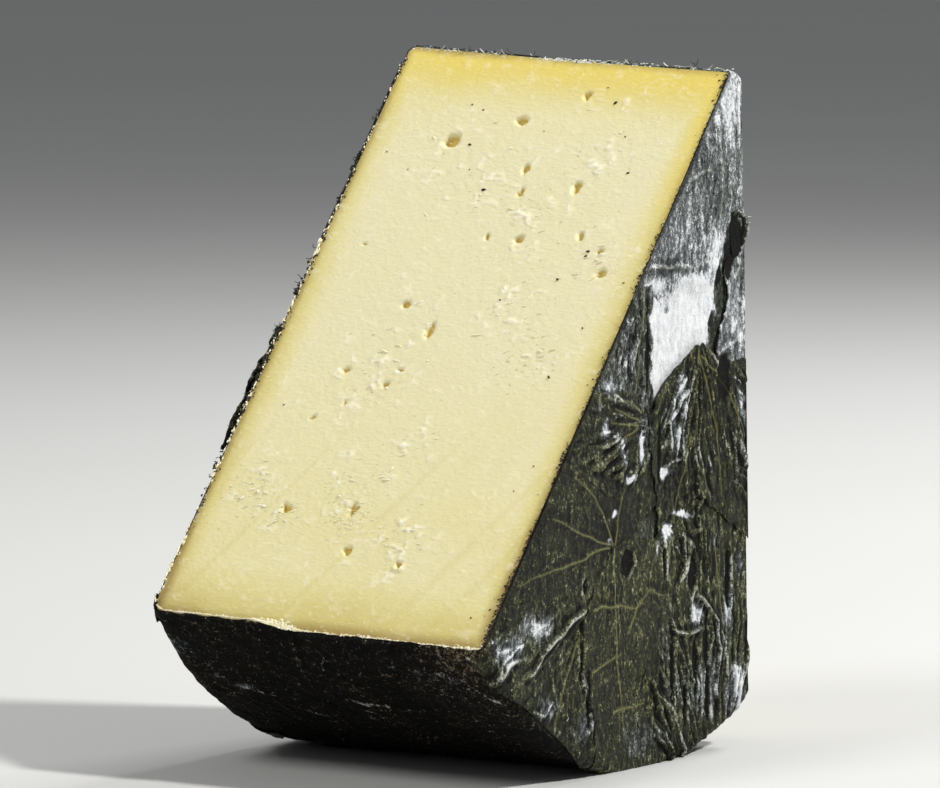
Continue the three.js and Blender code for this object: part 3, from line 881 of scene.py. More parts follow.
def pocket_dip(u, v, pockets, seed):
    """The hollows between leaves, which the finish paints dark as shade: 1 inside them."""
    dip = np.zeros(u.shape)
    ragged = 0.5 * fractal(u, 0.6 * v, 2.0, seed + 11, 3)
    for at_u, at_v, wide, tall in pockets:
        away = np.hypot((u - at_u) / wide, (v - at_v) / tall) + ragged
        dip = np.maximum(dip, smooth(1.2, 0.75, away))
    return dip


def leaf_relief(sheet, leaves, creases, pockets, seed):
    """Fills a sheet's map: height, openness, crest and glint, which the finish paints as light and
    shade.
    """
    u, v = sheet.u, sheet.v
    low = LEAF_REST + LEAF_SWELL * fractal(u, v, LEAF_SWELL_PITCH, seed, 2)
    folds = leaf_folds(u, v, leaves, seed)
    ridge, glint = crease_ridges(u, v, creases, seed)
    dip = pocket_dip(u, v, pockets, seed)
    for leaf in leaves:
        for line in leaf["veins"]:
            away, along = near_line(u, v, line, VEIN_REACH)
            vein = VEIN_HEIGHT * (1 - 0.6 * along) * smooth(0.8, 0.1, away)
            ridge = np.maximum(ridge, vein)
    height = low + np.maximum(folds, ridge) + 0.35 * np.minimum(folds, ridge)
    height = height * (1 - dip)
    around = blurred(height, round(CREST_REACH / sheet.step))
    # Painted shade and light: crest is the height above its surroundings, pushed far down in the
    # pockets, and the finish paints it dark in folds and hollows and light on crests.
    crest = (height - around) * CREST_GAIN - POCKET_PAINTED_SHADE * dip
    # Painted glint on the highest crests.
    shine = smooth(0.35, 0.9, crest) * smooth(0.05, 0.6, noise(u, v, 6, seed + 12))
    sheet.layers["height"] = height
    sheet.layers["open"] = 1 - dip
    sheet.layers["crest"] = np.clip(crest, -1, 1)
    sheet.layers["glint"] = np.maximum(glint, 0.6 * shine) * (1 - dip)


def blurred(values, reach):
    """A box blur, run twice."""
    for _ in range(2):
        for axis in (0, 1):
            pad = [(0, 0), (0, 0)]
            pad[axis] = (reach + 1, reach)
            total = np.cumsum(np.pad(values, pad, mode="edge"), axis=axis)
            far = np.take(total, range(2 * reach + 1, total.shape[axis]), axis=axis)
            near = np.take(total, range(0, total.shape[axis] - 2 * reach - 1), axis=axis)
            values = (far - near) / (2 * reach + 1)
    return values


def add_mould(sheet, spots, seed):
    """Soft spots of mould, with ragged borders."""
    u = sheet.u + 1.3 * fractal(sheet.u, sheet.v, 5.0, seed + 1, 4)
    v = sheet.v + 1.9 * fractal(sheet.u, sheet.v, 5.0, seed + 2, 4)
    ragged = 0.55 * fractal(u, 0.5 * v, 2.2, seed, 4)
    mould = np.zeros(u.shape)
    for at_u, at_v, wide, tall, strength in spots:
        away = np.hypot((u - at_u) / wide, (v - at_v) / tall)
        mould = np.maximum(mould, strength * smooth(1.4, 0.1, away + ragged))
    return mould


# The right face's leaves, topmost first. Their outlines repeat the solids' own.
RIGHT_LEAVES = [
    {
        "name": "nettle_leaf_pleated", "layer": 4, "mould": 0.03, "base": (17.8, 15),
        "fold": 0.75, "pleat": 2.6, "tint": 0.35,
        "loop": [
            (17.8, 10), (10, 6), (3, 1), (-0.5, -6), (1, -13), (2.5, -20), (4, -27),
            (9, -25), (17, -20.5), (25, -24), (33, -28), (42, -30), (42, 2), (28, 6.5),
        ],
        "veins": [
            [(17.8, 9), (16, -2), (12, -14), (9, -24)], [(18, 8), (24, -6), (27, -20)],
            [(19, 8), (29, 0), (36, -12)],
        ],
    },
    {
        "name": "nettle_leaf_top", "layer": 3, "mould": 0.59, "base": (26, 150),
        "fold": 0.22, "pleat": 1.7, "calm": 0.6, "melts": True, "tint": 0.7,
        "loop": [
            (30, 76), (46, 66), (46, 26), (33, 26), (27, 22), (20, 18), (13, 19.5), (7, 17),
            (2, 20), (-4, 20), (-12, 26), (6, 50),
        ],
        "veins": [
            [(0, 26.7), (11.4, 25.9), (21.2, 26.1), (27, 25.5)],
            [(15.3, 43.2), (18.2, 44.3), (21.6, 44.8)],
            [(33.8, 62), (33.6, 53), (33.9, 47)], [(26, 56), (27, 40), (24, 28)],
        ],
    },
    {
        "name": "nettle_leaf_lower_middle", "layer": 3, "mould": 0.02, "base": (-12.9, -20),
        "fold": 0.2, "pleat": 3.0, "calm": 0.6,
        "loop": [
            (-13, -28), (-5, -27), (3, -29), (5.5, -37), (6, -44), (4, -52), (1, -60),
            (4, -76), (-18, -76), (-20, -62), (-24.5, -50), (-25, -42), (-20, -36),
        ],
        "veins": [
            [(-12.9, -28), (-12.9, -37), (-12, -50), (-9, -66)],
            [(-20.5, -39.4), (-11.5, -39.0), (-4.8, -40.4), (0.5, -37.5), (6.5, -39.3)],
            [(-20.8, -51.4), (-10, -49)], [(-13.5, -60.5), (-2.3, -59.7)],
            [(-4.8, -40.4), (-7.5, -45)],
        ],
    },
    {
        "name": "nettle_leaf_fanned", "layer": 2, "mould": 0.05, "base": (-9, -26),
        "fold": 0.25, "pleat": 3.0, "calm": 0.4, "tint": 0.2,
        "loop": [
            (-12, -28), (-5, -26), (0.5, -20), (0, -14), (-6, -16), (-14, -14), (-24, -10),
            (-42, -6), (-64, -28), (-52, -38), (-36, -37), (-22, -34),
        ],
        "veins": [
            [(-14.5, -28), (-17.4, -28), (-46.8, -31.9)],
            [(-14.5, -27.3), (-19.8, -25.6), (-25.3, -23.6), (-34.5, -20.3)],
            [(-13.6, -27.3), (-16.4, -21), (-19.9, -17.3), (-26.7, -13.4)],
            [(-12.5, -27), (-11.5, -21.5), (-9, -17)],
        ],
    },
    {
        "name": "nettle_leaf_lower_right", "layer": 1.5, "mould": 0.1, "base": (28, -92),
        "fold": 0.85, "pleat": 2.3,
        "loop": [
            (5, -28), (17, -21), (25, -25), (33, -29), (44, -31), (46, -62), (26, -76),
            (2, -76), (-1, -62), (3, -50), (6, -40),
        ],
        "veins": [[(24, -30), (27, -44)]],
    },
    {
        "name": "nettle_leaf_lower_left", "layer": 1, "mould": 0.12, "base": (8, -20),
        "fold": 0.5, "pleat": 3.0,
        "loop": [
            (-66, -34), (-52, -38), (-36, -38), (-22, -35), (-22, -40), (-25, -50),
            (-20, -62), (-18, -76), (-46, -76), (-70, -52),
        ],
        "veins": [[(-23, -40), (-30, -52), (-34, -62)]],
    },
    {
        "name": "nettle_leaf_side_pleats", "layer": 1.5, "mould": 0.1, "base": (5, -3),
        "fold": 0.8, "pleat": 2.0,
        "loop": [
            (-24, 2), (-12, 3), (-3, -1), (-1, -7), (-3, -15), (-14, -15), (-24, -10),
            (-38, -8),
        ],
        "veins": [
            [(-2.9, -2), (-8, 0.6), (-15.8, 1.8)], [(-4, -3), (-12, -0.8)],
            [(-4, -4.2), (-14, -3.6)], [(-4, -5.2), (-12, -6.4)],
        ],
    },
    {
        "name": "nettle_leaf_strip", "layer": 1, "mould": 0.26, "base": (6, 70),
        "fold": 0.5, "pleat": 1.6, "edged": True,
        "loop": [(-3, 24), (0, 14), (0.4, 5), (-2.5, -2), (-12, 3), (-28, 2), (-14, 18)],
        "veins": [[(-2, 22), (-3, 12), (-5, 2)]],
    },
    {
        "name": "nettle_leaf_back_edge", "layer": 2, "mould": 0.6, "base": (22, 70),
        "fold": 0.2, "pleat": 2.0, "edged": True,
        "loop": [(32, 25), (28.5, 16), (26, 11), (29, 6.5), (44, 3), (44, 26)],
        "veins": [[(26.2, 7.6), (34.6, 10.9)]],
    },
]

# Creases: height, half width, strength of the painted glint along them, and line.
RIGHT_CREASES = [
    (0.9, 1.2, 0.75, [
        (-21.5, -38.1), (-28, -40.7), (-33.4, -43.6), (-40.1, -47.7), (-46.1, -51.5),
    ]),
    (0.4, 0.6, 0.5, [(-29, -42.6), (-36, -46.8), (-44, -52.5)]),
    (0.6, 0.7, 0.9, [(-42.4, -56.5), (-37.5, -58), (-33.6, -55.5)]),
    (1.0, 0.8, 1.0, [
        (15.5, -39.2), (19.8, -41.2), (25, -45.6), (26.3, -52.7), (25, -60), (27.4, -67),
    ]),
    (0.8, 0.6, 0.9, [(26.8, -47.2), (28.2, -51), (29.2, -56.6)]),
    (0.7, 0.5, 0.8, [(-5.4, -28.4), (-5.2, -31.8), (-8, -35.4)]),
    (0.9, 0.8, 0.85, [(7.6, -43), (9.8, -46.7), (14.8, -47.8), (22.1, -47.2)]),
    (0.8, 0.7, 0.55, [(9, -47), (12, -52), (15.6, -57)]),
    (0.8, 0.6, 0.6, [(3.4, -49.4), (5, -54), (6.3, -59)]),
    (0.8, 0.7, 0.7, [(-0.2, -54), (2.7, -58.2), (12, -64.5)]),
    (0.8, 0.6, 0.7, [(28, -44), (28.6, -52), (29.5, -60)]),
    (0.9, 0.7, 0.5, [(12.5, -25.1), (13.3, -30.5), (13.3, -34), (11.2, -37.2)]),
    (0.9, 0.8, 1.0, [(17.3, 6), (12, 0), (6.9, -4.8), (6.9, -12.1)]),
    (0.8, 0.6, 1.0, [(16.5, 4), (11.8, -4), (9.1, -12)]),
    (0.8, 0.5, 0.9, [(14.2, 4), (8.6, -1), (4.8, -6.5)]),
    (0.8, 0.6, 0.3, [(17.8, 8), (19, -2), (17, -12)]),
    (0.8, 0.7, 0.2, [(18.5, 8), (23, 0), (25, -10)]),
    (0.7, 0.7, 0.8, [(21, 9), (25.5, 5), (30, 3.5)]),
    (0.6, 0.6, 1.0, [(12.4, -11.9), (6.9, -12.9), (3.9, -14.4)]),
    (0.7, 0.7, 0.0, [(-26, -40.3), (-25.6, -49.3), (-21.1, -58.8), (-20.4, -66)]),
    (0.7, 0.5, 0.8, [(17, -38), (15.6, -42), (15.6, -46.5)]),
    (0.7, 0.5, 0.8, [(20, -40), (19.6, -43), (18.4, -46.5)]),
    (0.7, 0.6, 0.35, [(-13, 3), (-10, 0), (-3, -2)]),
    (0.7, 0.6, 0.4, [(20, -26), (22, -34), (22, -42)]),
    (0.7, 0.6, 0.3, [(18, -50), (19.5, -58), (20.5, -66)]),
    (0.7, 0.6, 0.35, [(11, -52), (14, -60), (18, -68)]),
    (0.7, 0.6, 0.3, [(30, -30), (31, -38), (30.5, -46)]),
    (0.7, 0.6, 0.3, [(30, -6), (32, -14), (33, -22)]),
]
# Hollows between leaves, painted dark as shade, with the shadow under the back lip painted the same
# way: place, half width and half height.
RIGHT_POCKETS = [
    (-8.3, -31.4, 2.1, 2.6), (-23.3, -34.5, 0.9, 1.6), (16.5, -35.4, 2.2, 3.6),
    (27.5, 2.4, 2.5, 4.6), (31.8, 31.5, 2.7, 3.8), (29.3, 27, 2.1, 4.2), (5.6, -33, 0.7, 3.0),
    (27.0, 20.5, 1.5, 4.8), (24.6, 13, 1.3, 4.2), (-0.6, 10, 0.8, 9.0), (-24.6, -46, 0.7, 5.0),
    (-22, -57, 0.7, 5.0), (8.5, -55, 0.8, 5.0), (17.4, -54, 0.9, 6.0), (22, -60, 0.8, 6.0),
    (21.5, -50, 0.8, 5.0), (29.5, -38, 0.7, 5.0), (13.5, -60, 0.6, 5.0), (3.5, -11, 0.8, 5.0),
]
# Mould on the leaves: place, half width, half height and strength.
RIGHT_MOULD = [
    (6.1, -27.2, 3.0, 2.0, 1.0), (12, -23.5, 4.5, 1.0, 1.0), (3.3, -30.5, 0.8, 2.4, 0.8),
    (-12.3, -21.4, 1.6, 0.9, 1.0), (-15, -26, 0.9, 0.9, 1.0), (-40.0, -41.0, 7, 4.0, 0.6),
    (-50.5, -44.4, 6, 3.8, 0.68), (-36.8, -56.3, 4, 3.5, 0.5), (-3.2, -67, 9, 4.5, 0.48),
    (32.5, -60.3, 4, 6, 0.7), (30.1, -44.5, 3, 5, 0.6), (34, -36, 2.0, 4, 0.5),
    (34.6, -2.1, 2.4, 6, 0.75), (8.3, -5, 4.0, 7, 0.66), (-2.4, -9, 0.9, 6, 1.0),
    (-6.5, -15, 3.0, 1.0, 1.0), (-13, 3.5, 4, 3.0, 0.62), (-16, -5, 2, 2.6, 0.75),
    (-10, -8, 1.4, 4, 0.7), (17.3, -44, 3.6, 3.4, 0.95), (24, -58, 1.5, 10, 0.45),
    (12, 31, 9, 6, 0.12), (15, 20, 12, 5, 0.55), (-24, -62, 5, 3, 0.45), (3, 22, 5, 3, 0.4),
    (24, 28, 4, 8, 0.3), (34, 13, 4, 9, 0.2), (-3, 32, 6, 4, 0.1), (31, 60, 6, 9, 0.26),
    (12, 1, 3, 6, 0.9), (24, -30, 3, 3, 0.4), (20, -60, 6, 8, 0.4), (6, -48, 3, 6, 0.3),
    (-8, 12, 4, 9, 0.3), (-2, -6, 3, 8, 0.4), (34, -14, 3, 8, 0.3), (9.5, -8, 2.4, 5, 0.7),
    (5, -14, 3.0, 1.6, 1.0), (26, -52, 4, 9, 0.3), (10, -58, 6, 6, 0.25),
]
# The bare white mould between the leaves.
WHITE_PATCH = [
    (-2.5, 24), (8, 27), (20, 27), (27, 25), (26.5, 15), (23, 10), (20, 8), (13, 5), (8, 2),
    (4, 0), (0.5, -4), (-2, -9), (-4, -14), (-6, -13), (-3, -5), (-2, 0), (0, 6), (0, 14),
]


RIGHT_MAP_LOW = (-62, -78)
RIGHT_MAP_HIGH = (42, 76)
RIGHT_MAP_STEP = 0.25
PATCH_BORDER = 1.5
EDGE_PAINTED_SHADOW = 0.96


def right_face_map():
    """The right face's relief, with a painted shadow on the white patch beside the edged leaves."""
    sheet = ReliefMap(RIGHT_MAP_LOW, RIGHT_MAP_HIGH, RIGHT_MAP_STEP)
    leaf_relief(sheet, RIGHT_LEAVES, RIGHT_CREASES, RIGHT_POCKETS, 100)
    mould = add_mould(sheet, RIGHT_MOULD, 140)
    patch = depth_inside(sheet.u, sheet.v, np.array(WHITE_PATCH, float))
    bare = smooth(-PATCH_BORDER, PATCH_BORDER, patch)
    # Painted shadow: the white mould darkens in a thin band just outside each edged leaf's margin.
    for leaf in RIGHT_LEAVES:
        if "edged" in leaf:
            outside = -depth_inside(sheet.u, sheet.v, leaf["loop"])
            ragged = 0.5 * noise(sheet.u, sheet.v, 2.2, 150)
            bare = bare * (1 - EDGE_PAINTED_SHADOW * smooth(1.5, 0.5, outside + ragged))
    sheet.layers["mould"] = mould * sheet.layers["open"]
    sheet.layers["bare"] = np.maximum(mould * (bare > 0), bare) * sheet.layers["open"]
    return sheet


# The left face, which the photo doesn't show, is finished like the right one.
LEFT_LEAVES = [
    {"name": "nettle_leaf_left_upper", "layer": 2, "mould": 0.35, "base": (-30, 60),
     "tip": (2, 6), "width": 36, "fold": 0.45},
    {"name": "nettle_leaf_left_middle", "layer": 3, "mould": 0.03, "base": (-32, 2),
     "tip": (33, -24), "width": 38, "fold": 0.55},
    {"name": "nettle_leaf_left_front", "layer": 2, "mould": 0.06, "base": (8, -30),
     "tip": (58, -42), "width": 34, "fold": 0.5},
    {"name": "nettle_leaf_left_back", "layer": 1, "mould": 0.08, "base": (-26, -14),
     "tip": (-18, -72), "width": 38, "fold": 0.7},
    {"name": "nettle_leaf_left_lower", "layer": 1, "mould": 0.08, "base": (-6, -34),
     "tip": (28, -74), "width": 36, "fold": 0.6},
]
# Creases on the left face: height, half width, strength of the painted glint along them, and line.
LEFT_CREASES = [
    (1.0, 0.9, 0.7, [(-30, 40), (-22, 30), (-14, 14)]),
    (1.0, 0.8, 0.6, [(-20, -6), (-4, -12), (12, -16)]),
    (1.1, 0.9, 0.8, [(-34, -24), (-28, -40), (-26, -60)]),
    (0.9, 0.7, 0.6, [(10, -44), (18, -54), (20, -66)]),
    (0.9, 0.8, 0.6, [(22, -34), (36, -40), (48, -44)]),
    (0.9, 0.7, 0.6, [(-30, 0), (-36, -14), (-35, -30)]),
]
# Hollows between the left face's leaves, painted dark as shade: place, half width and half height.
LEFT_POCKETS = [(-16, -10, 1.4, 2.6), (8, -36, 1.2, 2.2), (-22, -44, 1.2, 2.4)]
LEFT_MOULD = [
    (-25, 48, 9, 12, 0.5), (0, 22, 10, 7, 0.65), (-12, -2, 8, 4, 0.5), (20, -20, 7, 5, 0.5),
    (40, -38, 8, 6, 0.5), (-30, -30, 6, 10, 0.5), (-8, -60, 9, 6, 0.5), (12, 6, 5, 7, 0.6),
    (-33, 20, 4, 9, 0.6), (34, -10, 5, 6, 0.55), (24, -52, 8, 6, 0.5),
]


VEIN_PAIRS = 5


def leaf_veins(base, tip, width):
    """The midrib of a whole leaf, and its side veins."""
    base, tip, axis, side = leaf_axes(base, tip)
    lines = [[base, base + axis * 0.5 + side * 0.02 * width, tip]]
    for k in range(VEIN_PAIRS):
        start = base + axis * (0.02 + 0.8 * k / VEIN_PAIRS)
        reach = width * (0.44 - 0.3 * k / VEIN_PAIRS)
        for way in (-1, 1):
            middle = start + axis * 0.09 + side * way * reach * 0.55
            lines.append([start, middle, start + axis * 0.26 + side * way * reach])
    return lines


LEFT_MAP_LOW = (-42, -78)
LEFT_MAP_HIGH = (64, 76)
COARSE_MAP_STEP = 0.35


def left_face_map():
    """The left face's relief. Its coat is mouldy all over, most of all in the spots."""
    sheet = ReliefMap(LEFT_MAP_LOW, LEFT_MAP_HIGH, COARSE_MAP_STEP)
    leaf_relief(sheet, LEFT_LEAVES, LEFT_CREASES, LEFT_POCKETS, 300)
    sheet.layers["mould"] = add_mould(sheet, LEFT_MOULD, 340)
    sheet.layers["bare"] = 0.4 + 0.55 * sheet.layers["mould"]
    return sheet


WHOLE_LEAF_CLEAR = 0.6


def prepare_leaves(leaves, spacing, seed):
    """Gives each leaf its toothed outline and its wandering veins."""
    for k, leaf in enumerate(leaves):
        if "tip" in leaf:
            leaf["loop"] = whole_leaf(leaf["base"], leaf["tip"], leaf["width"])
            leaf["veins"] = leaf_veins(leaf["base"], leaf["tip"], leaf["width"])
            leaf["clear"] = WHOLE_LEAF_CLEAR
        loop = smooth_loop(leaf["loop"], spacing)
        after = np.roll(loop, -1, 0)
        if np.sum(loop[:, 0] * after[:, 1] - loop[:, 1] * after[:, 0]) < 0:
            loop = loop[::-1]
        above = [other["loop"] for other in leaves[:k] if other["layer"] > leaf["layer"]]
        leaf["loop"] = tucked(toothed(loop, seed + k), above)
        lines = enumerate(leaf["veins"])
        leaf["veins"] = [wandering(line, seed + 9 * k + n) for n, line in lines]


ONTO_RIM = 3.0


def face_limits(side):
    """Distance functions that are positive on a flat face and a little way onto the rim."""
    edge = RIGHT_ROUND if side > 0 else LEFT_ROUND
    reach = PASTE_RADIUS - edge + edge * QUARTER + ONTO_RIM
    return [
        lambda p: front_reach(p[0], p[1], side),
        lambda p: back_reach(p[0], p[1], side),
        lambda p: reach - math.hypot(*p),
    ]


VEIN_HALF = 0.3
CUT_CALM = 2.5
CURL_WIDTH = 0.8
HAIR_PITCH = 1.1
HAIR_HEIGHT = 0.07
MELT_BELOW = 30
MELT_WIDTH = 4.5
PLAIN_TINT = 0.5


def vein_share(u, v, lines):
    """How much of a vein a place is: 1 on its middle."""
    share = np.zeros(u.shape)
    for line in lines:
        away, along = near_line(u, v, line, LINE_REACH)
        share = np.maximum(share, (1 - 0.4 * along) * smooth(VEIN_HALF, 0.1, away))
    return share


def raw_share(u, v, side):
    """The brown cut edge of the leaves: 1 at the leaning cut."""
    return smooth(0.5, 0.05, front_reach(u, v, side))


def leaf_values(u, mould, crest, glint=0, vein=0, tint=PLAIN_TINT, raw=0):
    """What the finish of a leaf reads at each point of its mesh."""
    values = {
        "mould": mould, "glint": glint, "vein": vein, "crest": crest, "tint": tint, "raw": raw,
    }
    return {key: value + 0 * u for key, value in values.items()}


def leaf_piece(leaf, sheet, place, side, seed, spacing):
    """One leaf as a thin wrinkled sheet, with a slightly lifted, uneven margin."""
    outline = clipped(list(leaf["loop"]), face_limits(side))
    lift = LEAF_SEAT + LAYER_STEP * (leaf["layer"] - 1)

    def surface(u, v):
        rim = np.maximum(depth_inside(u, v, leaf["loop"]), 0)
        curl = np.exp(-rim / CURL_WIDTH) * np.maximum(0.1 + 0.2 * noise(u, v, 5, seed), 0)
        fine = HAIR_HEIGHT * fractal(u, v, HAIR_PITCH, seed + 1, 2)
        calm = 0.12 + 0.88 * smooth(0, CUT_CALM, front_reach(u, v, side))
        lower = lift + calm * (sheet.read("height", u, v) + curl + fine)
        if "melts" in leaf:
            inwards = np.where(v < MELT_BELOW, rim, 2 * MELT_WIDTH)
            lower = lower * (0.1 + 0.9 * smooth(0.0, MELT_WIDTH, inwards))
        mould = sheet.read("mould", u, v) + leaf["mould"] * sheet.read("open", u, v)
        values = leaf_values(
            u,
            mould=np.clip(mould, 0, 1),
            crest=np.clip(sheet.read("crest", u, v) + 0.15 * np.exp(-rim / 0.4), -1, 1),
            glint=sheet.read("glint", u, v),
            vein=leaf.get("clear", 1.0) * vein_share(u, v, leaf["veins"]),
            tint=leaf.get("tint", PLAIN_TINT),
            raw=raw_share(u, v, side),
        )
        return lower, lower + LEAF_THICKNESS, values

    name = leaf["name"].replace("nettle_leaf", "leaf")
    return sheet_piece(name, outline, spacing, place, surface, seed, leaf["veins"])


COAT_OUTLINE_POINTS = 700
COAT_SPACING = 0.8
COAT_TINT = 0.3


def coat_piece(name, sheet, place, side, seed):
    """The inner layer of leaf and mould on a flat face."""
    t = np.linspace(0, 2 * math.pi, COAT_OUTLINE_POINTS, endpoint=False)
    reach = PASTE_RADIUS - edge_round(side, np.sin(t))
    circle = np.stack([reach * np.cos(t), reach * np.sin(t)], 1)
    outline = clipped(list(circle), face_limits(side))

    def surface(u, v):
        bare = sheet.read("bare", u, v)
        bulge = smooth(0.1, 0.6, bare) * smooth(1, 5, front_reach(u, v, side))
        rough = 0.05 * fractal(u, v, 1.6, seed, 3) + 0.1 * fractal(u, v, 7, seed + 1, 2)
        crest = np.clip(0.5 * fractal(u, v, 3, seed + 2, 3), -1, 1)
        values = leaf_values(u, bare, crest, tint=COAT_TINT, raw=raw_share(u, v, side))
        return 0 * u + COAT_LOW, COAT_TOP + (0.1 + rough) * bulge, values

    return sheet_piece(name, outline, COAT_SPACING, place, surface, seed)


# The two loose bits of leaf.

LIP_LOOP = [(31.6, 27), (34.6, 27.6), (36, 31), (35.8, 35), (32.6, 36), (31, 32)]
LIP_SPACING = 0.3
LIP_START = 31
LIP_MIDDLE = (33.4, 32)
LIP_RISE = 1.0
LIP_TINT = 0.6


def back_lip():
    """A curled lip at the back edge: its hollow painted black as shade, with a thin pale rim of
    mould and painted glint.
    """
    loop = toothed(smooth_loop(LIP_LOOP, LIP_SPACING), 71)

    def surface(u, v):
        deep = np.maximum(depth_inside(u, v, loop), 0)
        outer = smooth(-0.6, 1.6, (u - LIP_MIDDLE[0]) + 0.5 * (v - LIP_MIDDLE[1]))
        rise = 0.1 + LIP_RISE * outer * np.exp(-deep / 0.6) + 0.25 * fractal(u, v, 1.6, 72)
        lower = LEAF_SEAT + 0.2 + rise * (0.5 + 0.1 * (u - LIP_START))
        # Painted shade: crest falls to -1 inside the curl, which the finish paints black; glint
        # paints highlights on the outer rim.
        values = leaf_values(
            u,
            mould=0.6 * smooth(0.6, 0.1, deep) * outer,
            crest=2 * smooth(0.9, 0.2, deep) * outer - 1,
            glint=0.6 * smooth(0.4, 0.1, deep) * outer,
            tint=LIP_TINT,
        )
        return lower, lower + LEAF_THICKNESS, values

    return sheet_piece("lip_back_edge", loop, LIP_SPACING, on_right, surface, 73)


# How far behind the cut the flap's outline runs, with the height of each place.
FLAP_LOOP = [
    (-0.6, 12), (0.6, 9), (-0.4, 4), (0.3, -1), (-0.4, -6), (0.5, -11), (3, -9), (4.5, -3),
    (5, 3), (4, 9), (2.5, 12.5),
]
FLAP_SPACING = 0.35
FLAP_LOOP_STEP = 0.4
FLAP_WIDTH = 4.5
FLAP_LIFT = 0.3
FLAP_RISE = 0.7
FLAP_THICKNESS = 0.3


def left_flap():
    """A torn flap that stands off the left face along the cut."""
    loop = [(-front_s(-OUTER_HALF, v) - behind, v) for behind, v in FLAP_LOOP]
    loop = toothed(smooth_loop(loop[::-1], FLAP_LOOP_STEP), 75)

    def surface(u, v):
        near = smooth(FLAP_WIDTH, 0.0, front_reach(u, v, -1))
        ruffle = 0.5 * fractal(0.4 * u, v, 3.2, 76, 3) + 0.25 * crests(u, v, 2.2, 77)
        lower = LEAF_SEAT + FLAP_LIFT + near * (FLAP_RISE + ruffle)
        height = crests(0.3 * u, v, 2.0, 78)
        # Painted light on the flap's crests and painted shade between them, with painted glints on
        # its upper crests; it is also darker towards its lower end.
        values = leaf_values(
            u,
            mould=0.14 + 0.24 * smooth(-6, 11, v),
            crest=np.clip(1.8 * height - 1.1 - 0.5 * smooth(2, -9, v), -1, 1),
            glint=0.7 * smooth(0.75, 1, height) * smooth(-8, 4, v),
        )
        return lower, lower + FLAP_THICKNESS, values

    return sheet_piece("flap_left_edge", loop, FLAP_SPACING, on_left, surface, 79)


# The rim.

# Creases round the rim: height, half width, strength of the painted glint along them, and line.
RIM_CREASES = [
    (0.5, 0.8, 0.5, [(-50, 8), (-46, 14.9), (-39.9, 21)]),
    (0.4, 0.6, 0.45, [(-52, 12), (-48.5, 17), (-46, 24)]),
    (0.4, 0.6, 0.4, [(-45, 22), (-42, 27), (-41, 34)]),
    (0.35, 0.5, 0.4, [(-58, 33), (-56.6, 41.9), (-55.1, 58.9)]),
    (0.4, 0.6, 0.4, [(-36, 27), (-33, 36), (-34, 46)]),
    (0.4, 0.6, 0.35, [(-50, 40), (-46, 50), (-47, 60)]),
    (0.5, 0.7, 0.4, [(-20, 12), (-8, 22), (6, 26)]),
    (0.5, 0.7, 0.4, [(-12, 56), (4, 48), (20, 50)]),
]


RIM_SPOTS = [(-49.5, 17, 1.6, 3.4, 0.6), (-60, 5, 4, 6, 0.4), (-58, 70, 6, 9, 0.3)]
RIM_LEAF_COUNT = 9
RIM_LEAF_FIRST = -62
RIM_LEAF_SPACING = 13.5
RIM_LEAF_FOLD = 0.45
RIM_LEAF_STEP = 0.2
RIM_LOOP_STEP = 1.2
RIM_SPOT_COUNT = 26
RIM_HEIGHT_SHARE = 0.7


def rim_leaves(random):
    """Whole leaves that lie round the rim, one in each stretch of it, turned at random."""
    leaves = []
    for k in range(RIM_LEAF_COUNT):
        along = RIM_LEAF_FIRST + RIM_LEAF_SPACING * k + random.uniform(-4, 4)
        base = (along, random.uniform(8, 70))
        turn = random.uniform(0, 2 * math.pi)
        reach = random.uniform(38, 50)
        tip = (base[0] + reach * math.cos(turn), base[1] + reach * math.sin(turn))
        leaves.append({
            "base": base, "tip": tip, "width": reach * random.uniform(0.55, 0.7),
            "fold": RIM_LEAF_FOLD, "layer": 1,
        })
    return leaves


def rim_map():
    """Relief of the leaves round the rim, by arc length from the lowest point and width."""
    length = rim_length(LEFT_ROUND)
    sheet = ReliefMap((-76, FAR_OUT), (46, length - FAR_OUT), COARSE_MAP_STEP)
    random = np.random.default_rng(8)
    leaves = rim_leaves(random)
    prepare_leaves(leaves, RIM_LOOP_STEP, 70)
    leaf_relief(sheet, leaves, RIM_CREASES, [], 500)
    steps = np.zeros(sheet.u.shape)
    for k, leaf in enumerate(leaves):
        depth = depth_inside(sheet.u, sheet.v, leaf["loop"])
        steps = np.where(depth > 0, RIM_LEAF_STEP * ((k * 5) % 3), steps)
        margin = 0.3 * np.exp(-np.abs(depth) / 0.4) * (depth > 0)
        sheet.layers["crest"] = np.maximum(sheet.layers["crest"], margin)
    sheet.layers["height"] = RIM_HEIGHT_SHARE * sheet.layers["height"] + steps
    spots = list(RIM_SPOTS)
    for _ in range(RIM_SPOT_COUNT):
        place = random.uniform(-68, 40), random.uniform(0, length)
        size = random.uniform(2, 9), random.uniform(1, 4)
        spots.append((*place, *size, random.uniform(0.1, 0.34)))
    sheet.layers["mould"] = add_mould(sheet, spots, 540)
    return sheet


RIM_LEAF_TOP = 0.3
RIM_ROUGH = 0.12
RIM_ROUGH_PITCH = 1.4
LEFT_ROUND_STEPS = 12
ACROSS_STEPS = 190
RIGHT_ROUND_STEPS = 8
RIM_GLINT = 0.8


